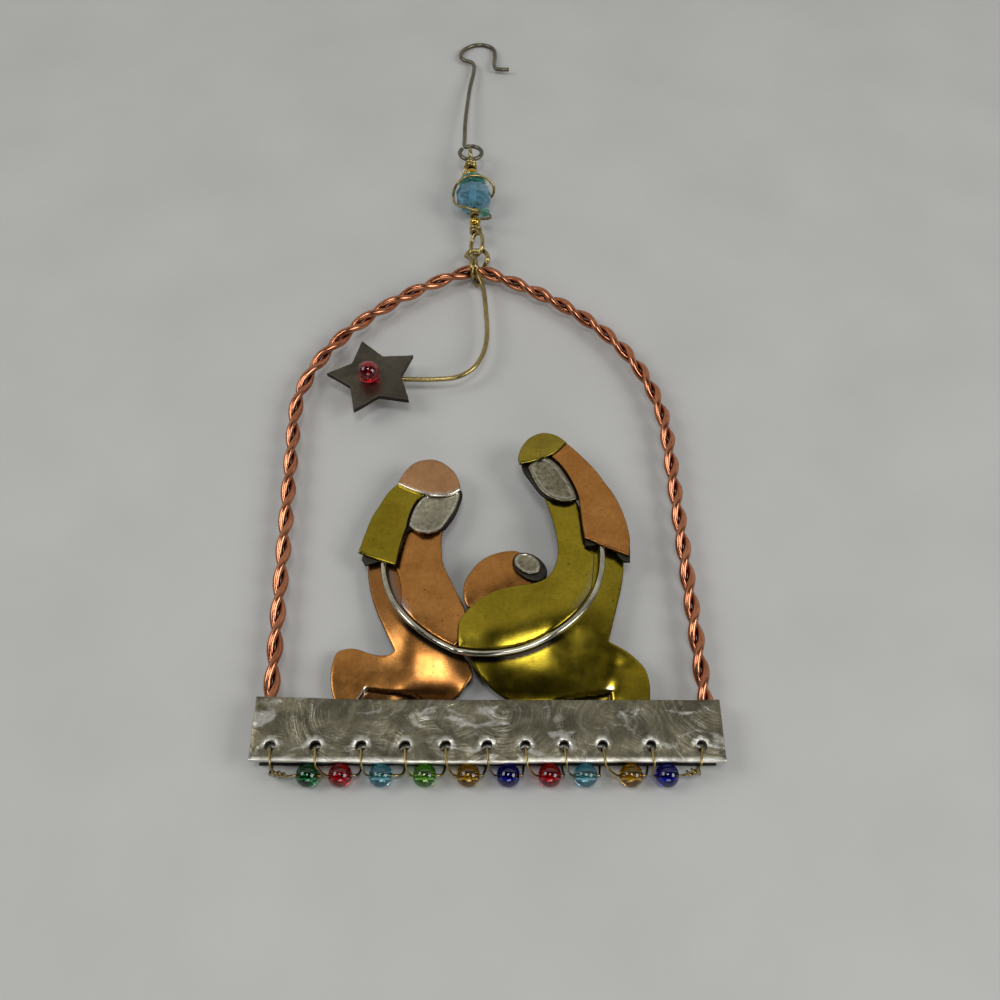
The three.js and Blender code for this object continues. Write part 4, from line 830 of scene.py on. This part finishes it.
OUTLINES = {
    "copper_robe": [
        [(-22.3, 30), (-22.6, 27.3), (-22.4, 24.3), (-21.6, 20.7), (-20.4, 17.2), (-18.6, 13.2),
         (-16.5, 8.9)],
        [(-17.8, 8.3), (-19.6, 8.4), (-21.4, 9), (-23.3, 9.8), (-24.9, 10), (-26.8, 9.4), (-27.5, 7.7),
         (-27.7, 4.9), (-27.3, 2.2), (-26.6, 0.4)], [(-26.2, TUCK)], [(-5.8, TUCK)],
        [(-6, 0.3), (-4.9, 1.3), (-3.8, 2.9), (-2.8, 4.5), (-3.1, 6.4), (-4.5, 8.4), (-5, 11.7)],
        arc_run(ROBE_EDGE, 250, 188), [(-16.2, 25.6), (-16.4, 30)]],
    "copper_torso": [
        [(-8.1, 35), (-8.6, 33.4), (-8.9, 31.8), (-8.8, 29.5), (-8.5, 26.3), (-7.5, 23.9), (-6.3, 21.4),
         (-5.1, 19), (-4.2, 16.9), (-4.2, 13.5), (-5, 10.8), (-5.9, 9.5)], arc_run(TORSO_EDGE, 250, 212),
        [(-15.8, 17.6), (-15.8, 19.4), (-16.3, 22.6), (-17.1, 25.7), (-16.5, 30), (-15, 34), (-12, 35.5)]],
    "copper_head_backing": [
        [(-17, 43.9), (-13.8, 47.3), (-10.6, 47.6), (-7.4, 45.2), (-5.5, 42.6), (-5.2, 41.1), (-5.9, 38.3),
         (-6.9, 35.7), (-8.3, 33.3)], [(-11.5, 32.8), (-15.2, 33), (-17.2, 28.2)], [(-19.5, 27)],
        [(-22.9, 26.1)], [(-23.7, 27.4)], [(-22.9, 31.6), (-20.6, 37.8), (-18.6, 41.8), (-17, 43.9)]],
    "copper_head_veil": [
        [(-17.4, 44), (-19.4, 42), (-21.2, 38.6), (-22.5, 35.8), (-23.4, 32.5), (-24.4, 28.6)],
        [(-20.9, 27), (-17.1, 25.3)], [(-16.7, 28.2), (-16.1, 31.5), (-15.5, 33.6)],
        [(-15.3, 35.3), (-14.6, 37.9), (-13.6, 39.6), (-12.45, 40.5)],
        [(-12.4, 41.9), (-14.5, 43.7), (-17.4, 44)]],
    "copper_head_face": [
        [(-15.1, 33.8), (-14.2, 32.9), (-12.7, 32), (-10.7, 32), (-8.9, 33.2), (-7.6, 35.3), (-6.4, 37.9),
         (-5.7, 40.6), (-5.7, 41.6)], [(-8.5, 41.9), (-11, 41.4)],
        [(-13.1, 39.6), (-14.2, 37.7), (-14.9, 35.3), (-15.1, 33.8)]],
    "copper_head_cap": [
        [(-17.6, 43.2), (-17.3, 44.4), (-16.2, 46.4), (-14.6, 48.1), (-12.5, 48.8), (-10.4, 48.7),
         (-8.3, 47.5), (-6.6, 45.6), (-5.7, 43.4), (-5.6, 41.9)],
        [(-6.9, 40.9), (-8.5, 40.3), (-10.9, 40.1), (-13.4, 40.9), (-15.6, 42), (-17.6, 43.2)]],
    "brass_robe": [
        [(24.6, 30.5), (25.1, 27.6), (24.8, 24), (24, 20.1), (22.8, 15.8), (21.4, 10.6)],
        [(24.1, 9.2), (26.2, 7.4), (27.6, 5.4), (28.1, 3), (28, 0.6), (27.8, TUCK)], [(3.9, TUCK)],
        [(3.8, 0.2)], [(1, 1.9), (-1.2, 3.9), (-2.7, 5.9), (-3.6, 8), (-3.8, 11.2)],
        arc_run(ROBE_EDGE, 255, 360), [(17.7, 28), (18, 30.5)]],
    "brass_torso": [
        [(9.9, 42), (10.9, 38.7), (11.8, 35.3), (12.5, 31.6), (12.8, 28.9), (12.6, 26.2), (11.7, 23.7),
         (10.3, 21.9), (8.2, 21), (5.3, 20.8), (2.1, 20.2), (-1, 18.8), (-3.2, 16.8), (-4.8, 14.7),
         (-5.3, 13), (-5.3, 10.9), (-5.2, 9.3)], arc_run(TORSO_EDGE, 252, 336),
        [(18.7, 20.2), (19.3, 24.9), (19.5, 27.4)], [(18, 28.3)], [(18.3, 32), (17.2, 38), (15, 42)]],
    "brass_head_backing": [
        [(6.3, 47), (6.7, 45.6), (8.1, 43.1), (9.7, 40.4), (11, 39)], [(13.9, 38.5), (17.2, 39.2)],
        [(17.7, 33), (17.9, 28.6)], [(19.8, 29)], [(19.9, 30.9)], [(22.6, 30.6)], [(23.9, 27)], [(25, 25.9)],
        [(26.1, 26)],
        [(26.3, 30.6), (25.8, 34.2), (24.9, 37.6), (23.6, 40.6), (20.3, 45.9), (17.5, 49.3), (14.6, 52),
         (10.7, 53.2), (7.8, 51.6), (6.4, 49.2), (6.3, 47)]],
    "brass_head_scarf": [
        [(15.3, 52.2), (17.7, 49.7), (20.5, 46.2), (22.4, 43), (23.9, 40.4), (25.1, 37.3), (25.9, 34),
         (26.3, 30.7), (25.9, 26.9)], [(22.4, 28.2), (17.8, 30)],
        [(17.5, 32.4), (17.3, 35.9), (17.05, 39.2)],
        [(16.75, 40.6), (16.1, 42.5), (15, 44.9), (13.7, 47), (12.2, 48.6)],
        [(12.4, 50.6), (13.8, 51.9), (15.3, 52.2)]],
    "brass_head_face": [
        [(7.5, 46.3), (8.5, 43.4), (9.9, 40.6), (11.9, 38.7), (13.9, 38.1), (15.6, 38.3), (16.7, 38.9)],
        [(16.15, 41), (15.2, 43.4), (13.7, 46.1), (11.9, 48)], [(9.6, 48.6), (7.5, 46.3)]],
    "brass_head_cap": [
        [(5.9, 46.7), (5.6, 48.1), (6.2, 50.4), (7.6, 52.6), (9.3, 53.8), (11, 54.2), (13.3, 53.6),
         (15.2, 52)], [(13.9, 50.4), (12.2, 48.8), (10, 47.6), (8, 47), (5.9, 46.7)]],
    "child_body": [
        [(-4.4, 18.6), (-4.5, 20.8), (-4.2, 22.5), (-2.8, 25), (-1.1, 26.9), (0.9, 28), (3.4, 28.6),
         (5.5, 28.4), (7.6, 26.6), (8, 22), (3, 18.2), (-1, 16.9), (-3.4, 16.9), (-4.4, 18.6)]],
    "child_bezel": circle(7.55, 24.75, 3.55, 2.5, -38, 40),
    "child_face": circle(7.1, 25.1, 2.6, 1.95, -33, 40),
}

# Painted light on the figures: shade under the folds and the cradle wire, dark reflections beside bright
# spots, and highlight lines at the slits and along the copper cap's lower rim
figure_sheet("copper_robe", 0, "copper_sheet", solder=(183, 222, 1), fold=copper_fold, tone_and_shade=0.45, pitch=0.35,
             painted_highlight_line=[(-22.75, 0), (-21.3, 2.4)],
             painted_dark_reflection=([(-13.6, 5.6), (-12.6, 2.6), (-8, 2), (-4.8, 4.2), (-5.2, 7.6)], 1.5, 0.55))
figure_sheet("copper_torso", 1, "copper_sheet", solder=(183, 222, 1))
figure_sheet("copper_head_backing", 2, "dark_steel")
figure_sheet("copper_head_veil", 3, "brass_sheet", tone_and_shade=0.12)
figure_sheet("copper_head_face", 3, "silver_sheet", panel=(0.2, 0.4), pitch=0.3, pale=0.1)
figure_sheet("copper_head_cap", 4, "copper_sheet", pale=0.1,
             painted_highlight_line=[(-5.6, 41.9), *OUTLINES["copper_head_cap"][1]])
figure_sheet("brass_robe", 0, "brass_sheet", fold=brass_fold, tone_and_shade=0.15, pitch=0.35,
             painted_highlight_line=[(20.8, 2.2), (21.6, 2.3)], painted_dark_reflection=([(8.5, 2.2), (13, 4.2), (15.8, 4.4)], 1.9, 0.45))
figure_sheet("brass_torso", 1, "brass_sheet", solder=(318, 362, 0.5),
             painted_dark_reflection=([(-4.2, 9.6), (-1.4, 10.2), (1, 10.9)], 1, 0.5))
figure_sheet("brass_head_backing", 2, "dark_steel")
figure_sheet("brass_head_scarf", 3, "copper_sheet")
figure_sheet("brass_head_face", 3, "silver_sheet", panel=(0.55, 0.75), pitch=0.3, tone_and_shade=0.15)
figure_sheet("brass_head_cap", 4, "brass_sheet", pale=0.02)
figure_sheet("child_body", 0, "copper_sheet")
figure_sheet("child_bezel", 1, "dark_steel", 0.7)
figure_sheet("child_face", 1, "silver_sheet", 0.4, 0.82, panel=(0.2, 0.45), pitch=0.3, tone_and_shade=0.1)

# Cradle wire: laid over both figures
cradle = []
for angle in np.radians(np.linspace(183, 365, 61)):
    x, y = CRADLE_X + CRADLE_RADIUS * cos(angle), CRADLE_Y + CRADLE_RADIUS * sin(angle)
    spot = np.array([[x, y]])
    rest = max(DOMES["copper"](spot)[0], DOMES["brass"](spot)[0] - 0.3 * max(0, -5 - x))
    cradle.append((x, y, rest + CRADLE_LIFT + CRADLE_WIRE))
wire_piece("cradle_wire", cradle, CRADLE_WIRE, "silver_sheet", per_span=3, sides=18, finish="silver_wire")

# Star on its wire
STAR_WIRE = 0.5
WRAP_RADIUS = HELIX_RADIUS + 0.71 + STAR_WIRE + 0.15
WRAP_PITCH = 1.25
WRAP_TURNS = 1.3
EYE_Z = ARCH_Z + 0.5
EYE_TOP = APEX[1] + 5.3
STEM_Z = 3.4
STAR_THICKNESS = 1.0
STAR_Z = STEM_Z + STAR_WIRE + 0.1
STAR_BEAD = 2.3
ax, ay = APEX
wraps = turns_round((ax - WRAP_PITCH, ay, ARCH_Z), (ax, ay, ARCH_Z), WRAP_RADIUS, WRAP_TURNS, 0.3 * pi, 13)
star_wire = [
    (ax - 0.1, ay - 3.6, ARCH_Z - 1.5), (ax + 0.7, ay - 1.7, ARCH_Z - 1.95),
    (ax + 1.2, ay + 0.2, ARCH_Z - 2.05), (ax + 1.5, ay + 1.7, ARCH_Z - 1.1),
    (ax + 2.35, ay + 2.6, EYE_Z - 0.3), (ax + 2.36, EYE_TOP - 1.7, EYE_Z), (ax + 1.6, EYE_TOP - 0.26, EYE_Z),
    (ax, EYE_TOP, EYE_Z), (ax - 1.68, EYE_TOP - 0.24, EYE_Z), (ax - 2.45, EYE_TOP - 1.7, EYE_Z),
    (ax - 2.4, ay + 3.2, EYE_Z + 0.5), *wraps,
    (ax + 0.4, ay - 3.3, ARCH_Z + 1.3), (ax + 1.35, 96.3, STEM_Z), (ax + 2.2, 88, STEM_Z),
    (ax + 2.4, 82.1, STEM_Z), (ax + 1.7, 77.4, STEM_Z), (ax - 0.3, 73.2, STEM_Z), (ax - 3.5, 70.8, STEM_Z),
    (ax - 7.9, 70.1, STEM_Z), (ax - 15.4, 70.1, STEM_Z), (-24.2, 70.1, STEM_Z)]
wire_piece("star_wire", star_wire, STAR_WIRE, "brass_wire")
STAR = ((-27.2, 79.2), (-22.5, 75), (-16.2, 75.3), (-18.4, 69.8), (-16.5, 63.5), (-22.8, 64.5),
        (-27.6, 60.9), (-28.8, 67.1), (-33.9, 70.5), (-28.9, 73.1))
star_loop = outline([[corner] for corner in STAR])
star_loop = star_loop + 0.06 * np.stack([bumps(star_loop, 1.5, 2.0), bumps(star_loop, 1.5, 6.0)], axis=1)
star_top = STAR_Z + STAR_THICKNESS
points, faces, values = sheet([star_loop], lambda flat: star_top + 0.05 * bumps(flat, 4.0, 8.0),
                              STAR_THICKNESS, 0.6, 0.15)
piece("star_plate", "cut", points, faces, "star_steel", values=values)
bead("star_bead", bead_profile(STAR_BEAD, 0.05, 24), 40, "red_glass", "frame",
     DRAWING @ Matrix.Translation((-24.9, 68.9, star_top + STAR_BEAD + 0.1)))

# Link: its own y axis runs along the threaded wire
CRYSTAL_SIDES = 11
LINK_WIRE = 0.45
LINK_WRAP = 2 * LINK_WIRE + 0.08
LOOP_LENGTH, LOOP_WIDTH, LOOP_SLACK = 6.2, 4.0, 1.25
LOOP_TWIST = radians(48)
WRAP_LENGTH = 4 * LINK_WIRE + 0.08
UPPER_LOOP_RADIUS = 1.7
GAP = 0.12
LOWER_GOLD, UPPER_GOLD = 1.25, 1.5
CRYSTAL_RADIUS, CRYSTAL_LENGTH, CRYSTAL_END, CRYSTAL_BAND = 4.15, 6.6, 2.3, 1.2
RONDELLE_RADIUS, RONDELLE_LENGTH = 3.2, 2.5
CAGE_WIRE, COIL_LENGTH = 0.3, 2.8
SEED_RADIUS = 1.1
loop_top = LOOP_LENGTH - LOOP_SLACK
lower_wrap = loop_top + WRAP_LENGTH
lower_gold = lower_wrap + LINK_WIRE + GAP + LOWER_GOLD
coil_start = lower_gold + LOWER_GOLD + GAP + CAGE_WIRE
crystal = coil_start + COIL_LENGTH - CAGE_WIRE + GAP + CRYSTAL_LENGTH / 2
rondelle = crystal + CRYSTAL_LENGTH / 2 + GAP + RONDELLE_LENGTH / 2
upper_gold = rondelle + RONDELLE_LENGTH / 2 + GAP + UPPER_GOLD
upper_start = upper_gold + UPPER_GOLD + GAP + LINK_WIRE
upper_end = upper_start + WRAP_LENGTH
upper_loop = upper_end + 0.2 + UPPER_LOOP_RADIUS


def coil(radius, start, end, turns, angle, count):
    """Turns of wire round the y axis, from one height to another."""
    return [(radius * sin(angle + 2 * pi * turns * t), start + (end - start) * t,
             radius * cos(angle + 2 * pi * turns * t)) for t in np.linspace(0, 1, count)]


lower_loop = [(LOOP_WIDTH / 2 * sin(a) * cos(LOOP_TWIST), loop_top - LOOP_LENGTH / 2 * (1 + cos(a)),
               LOOP_WIDTH / 2 * sin(a) * sin(LOOP_TWIST)) for a in np.radians(np.linspace(150, -150, 17))]
upper_bend = [(0, upper_loop + UPPER_LOOP_RADIUS * sin(a), UPPER_LOOP_RADIUS * cos(a))
              for a in np.radians(np.linspace(-62, 242, 15))]
link_wire = [*coil(LINK_WRAP, lower_wrap, loop_top + 0.45, 1.5, pi, 13), *lower_loop,
             *[(0, y, 0) for y in (loop_top + 0.7, lower_gold, coil_start, crystal, rondelle, upper_gold,
                                   upper_end - 0.3)], *upper_bend,
             *coil(LINK_WRAP, upper_end, upper_start, 2, pi, 17)]
wire_piece("link_wire", link_wire, LINK_WIRE, "brass_wire", "link", LINK, per_span=6)


def on_link(y):
    """A place on the link's threaded wire."""
    return LINK @ Matrix.Translation((0, y, 0))


THREAD_BORE = LINK_WIRE + 0.1
for end, radius, y in (("lower", LOWER_GOLD, lower_gold), ("upper", UPPER_GOLD, upper_gold)):
    bead(end + "_gold_bead", bead_profile(radius, THREAD_BORE), 32, "gold_metal", "bead_stack", on_link(y))
rondelle_rim = [(RONDELLE_RADIUS * (0.45 + 0.55 * cos(a)), RONDELLE_LENGTH / 2 * sin(a) / sin(pi * 0.375))
                for a in pi * 0.75 * np.linspace(-0.5, 0.5, 13)]
rondelle_profile = [(THREAD_BORE, -RONDELLE_LENGTH / 2), *rondelle_rim, (THREAD_BORE, RONDELLE_LENGTH / 2)]
bead("rondelle_bead", rondelle_profile, 36, "teal_glass", "bead_stack", on_link(rondelle))
crystal_profile = [(THREAD_BORE, -CRYSTAL_LENGTH / 2), (CRYSTAL_END, -CRYSTAL_LENGTH / 2),
                   (CRYSTAL_RADIUS * 0.97, -CRYSTAL_BAND), (CRYSTAL_RADIUS, CRYSTAL_BAND),
                   (CRYSTAL_END, CRYSTAL_LENGTH / 2), (THREAD_BORE, CRYSTAL_LENGTH / 2)]
bead("crystal_bead", crystal_profile, CRYSTAL_SIDES, "crystal_glass", "bead_stack", on_link(crystal), 1)

cage_reach = CRYSTAL_RADIUS + CAGE_WIRE + 0.2
cage_core = LINK_WIRE + CAGE_WIRE + 0.1
seed = np.array((2.3, lower_gold + 0.6, 2.4))
seed_way = np.array((0.9, -0.3, -0.25))
cage = [(-1, upper_start + 0.9, 1.15), (-1.75, upper_gold + 1, 0.6), (-2.2, upper_gold - 0.9, -0.9),
        (-2.5, rondelle + 0.4, -3.1), (0.6, rondelle - 0.9, -4), (3.2, crystal + 2.4, -2.9),
        (4.7, crystal + 1.6, -0.9), (5, crystal + 2.4, 0.8), (3.8, crystal + 3.4, 2.2),
        (1.7, crystal + 3.7, 3.2), (-1.2, crystal + 3, 3.9), (-3.5, crystal + 2, 3),
        (-cage_reach, crystal + 0.8, 0.9), (-cage_reach, crystal - 0.8, 0), (-3.6, crystal - 2.9, 0.7),
        (-2.2, crystal - 4.3, 1.7), (0.2, lower_gold + 1.3, 2.4), *(seed - seed_way, seed, seed + seed_way),
        (3.6, lower_gold + 0.5, 1), (3.1, lower_gold + 1.5, -0.6), (1.7, coil_start + 0.3, -1.1)]
coil_low = coil_start + 0.15
cage += coil(cage_core, coil_low, coil_low + COIL_LENGTH - 2.1 * CAGE_WIRE, 2, 0.6 - pi, 13)
wire_piece("cage_wire", cage, CAGE_WIRE, "brass_wire", "link", LINK, per_span=6, sides=12)
seed_turn = Vector((0, 1, 0)).rotation_difference(Vector(seed_way)).to_matrix().to_4x4()
bead("seed_bead", bead_profile(SEED_RADIUS, CAGE_WIRE + 0.08, 12), 24, "teal_glass", "link",
     LINK @ Matrix.Translation(tuple(seed)) @ seed_turn)

# Hook
HOOK_WIRE = 0.5
HOOK_EYE = 2.65
hook_line = [(9.4, 39.3), (7.4, 39.3), (6.2, 39.6), (5.6, 41.4), (5.8, 46), (5.4, 49), (4.1, 50.6),
             (2.2, 51.3), (0.2, 51.1), (-1.9, 49.7), (-3.2, 47.6), (-3.4, 45.3), (-2.3, 43.7), (-0.5, 42.8),
             (0.2, 41.2), (0.1, 37.2), (-0.6, 31.7), (-1, 26.4), (-1.6, 15.1), (-1.6, 8), (-1.6, 5.9)]
hook_eye = [(HOOK_EYE * cos(a), HOOK_EYE * (1 + sin(a))) for a in np.radians(np.linspace(118, -216, 23))]
wire_piece("hook", [(x, y, 0) for x, y in hook_line + hook_eye], HOOK_WIRE, "hook_steel", "hook", HOOK)

# Table
TABLE_HALF = 2.0
table_corners = [(x * TABLE_HALF, y * TABLE_HALF, 0) for x, y in ((-1, -1), (1, -1), (1, 1), (-1, 1))]
table_mesh = bpy.data.meshes.new("table")
table_mesh.from_pydata(table_corners, [], [(0, 1, 2, 3)])
table = in_scene("table", table_mesh)
paper = Finish("table_top", Roughness=0.62)
blotch = paper.span(paper.noise(0.035, 4.0), 0.35, 0.7)
paper.wire("Base Color", paper.mix(blotch, (0.50, 0.50, 0.485), (0.465, 0.465, 0.45)))
paper.wire("Normal", paper.bump(paper.noise(0.8, 3.0), 0.05, 0.35))
table_mesh.materials.append(paper.material)

# Camera at the photograph's angle
camera = in_scene("camera", bpy.data.cameras.new("camera"))
camera.data.sensor_width = 36.0
camera.data.lens = 36.1
camera.data.clip_start = 0.01
camera.location = DRAWING @ Vector((2.1, -60.85, 168.82))
camera.rotation_euler = (radians(31.5), 0, 0)
bpy.context.scene.camera = camera


def softbox(name, spot, size, watts, target=(0.0, -0.03, 0.0), size_y=None):
    """A rectangular lamp that faces its target. Places are metres in the frame."""
    lamp = bpy.data.lights.new(name, "AREA")
    lamp.shape = "RECTANGLE"
    lamp.size = size
    lamp.size_y = size_y or size
    lamp.energy = watts
    made = in_scene(name, lamp)
    made.location = spot
    made.rotation_euler = (Vector(target) - Vector(spot)).to_track_quat("-Z", "Y").to_euler()


softbox("left_softbox", (-0.75, 0.0, 0.72), 0.5, 3.2)
softbox("right_softbox", (0.8, -0.25, 0.62), 0.5, 4.4)
softbox("front_softbox", (0.1, -0.95, 0.45), 0.6, 1.7, size_y=0.3)
softbox("overhead_lamp", (0.0, -0.16, 0.8), 0.22, 1.25, target=(0.0, -0.1, 0.0), size_y=0.18)

# A room that is light beyond the far side of the table and near the floor, and dark overhead.
# Of each change in its light: the axis, where it starts and ends, and how much it adds
ROOM_LIGHT = 0.26
ROOM_CHANGES = (("Y", 0.2, 0.45, 0.52), ("Y", 0.6, 1.0, -0.14), ("Z", 0.1, 0.5, -0.25))
world = bpy.data.worlds.new("studio")
bpy.context.scene.world = world
world.use_nodes = True
sky = world.node_tree
way = add_node(sky, "TexCoord", output="Generated")
strength = ROOM_LIGHT
for axis, start, end, change in ROOM_CHANGES:
    along = add_node(sky, "SeparateXYZ", None, {0: way}, axis)
    step = add_node(sky, "MapRange", {"interpolation_type": "SMOOTHSTEP"},
                    {"Value": along, "From Min": start, "From Max": end, "To Max": change})
    strength = add_node(sky, "Math", None, {0: step, 1: strength})
background = sky.nodes["Background"]
background.inputs["Color"].default_value = (1.0, 0.99, 0.96, 1)
sky.links.new(strength, background.inputs["Strength"])

bpy.context.scene.view_settings.view_transform = "Standard"

bpy.context.view_layer.update()
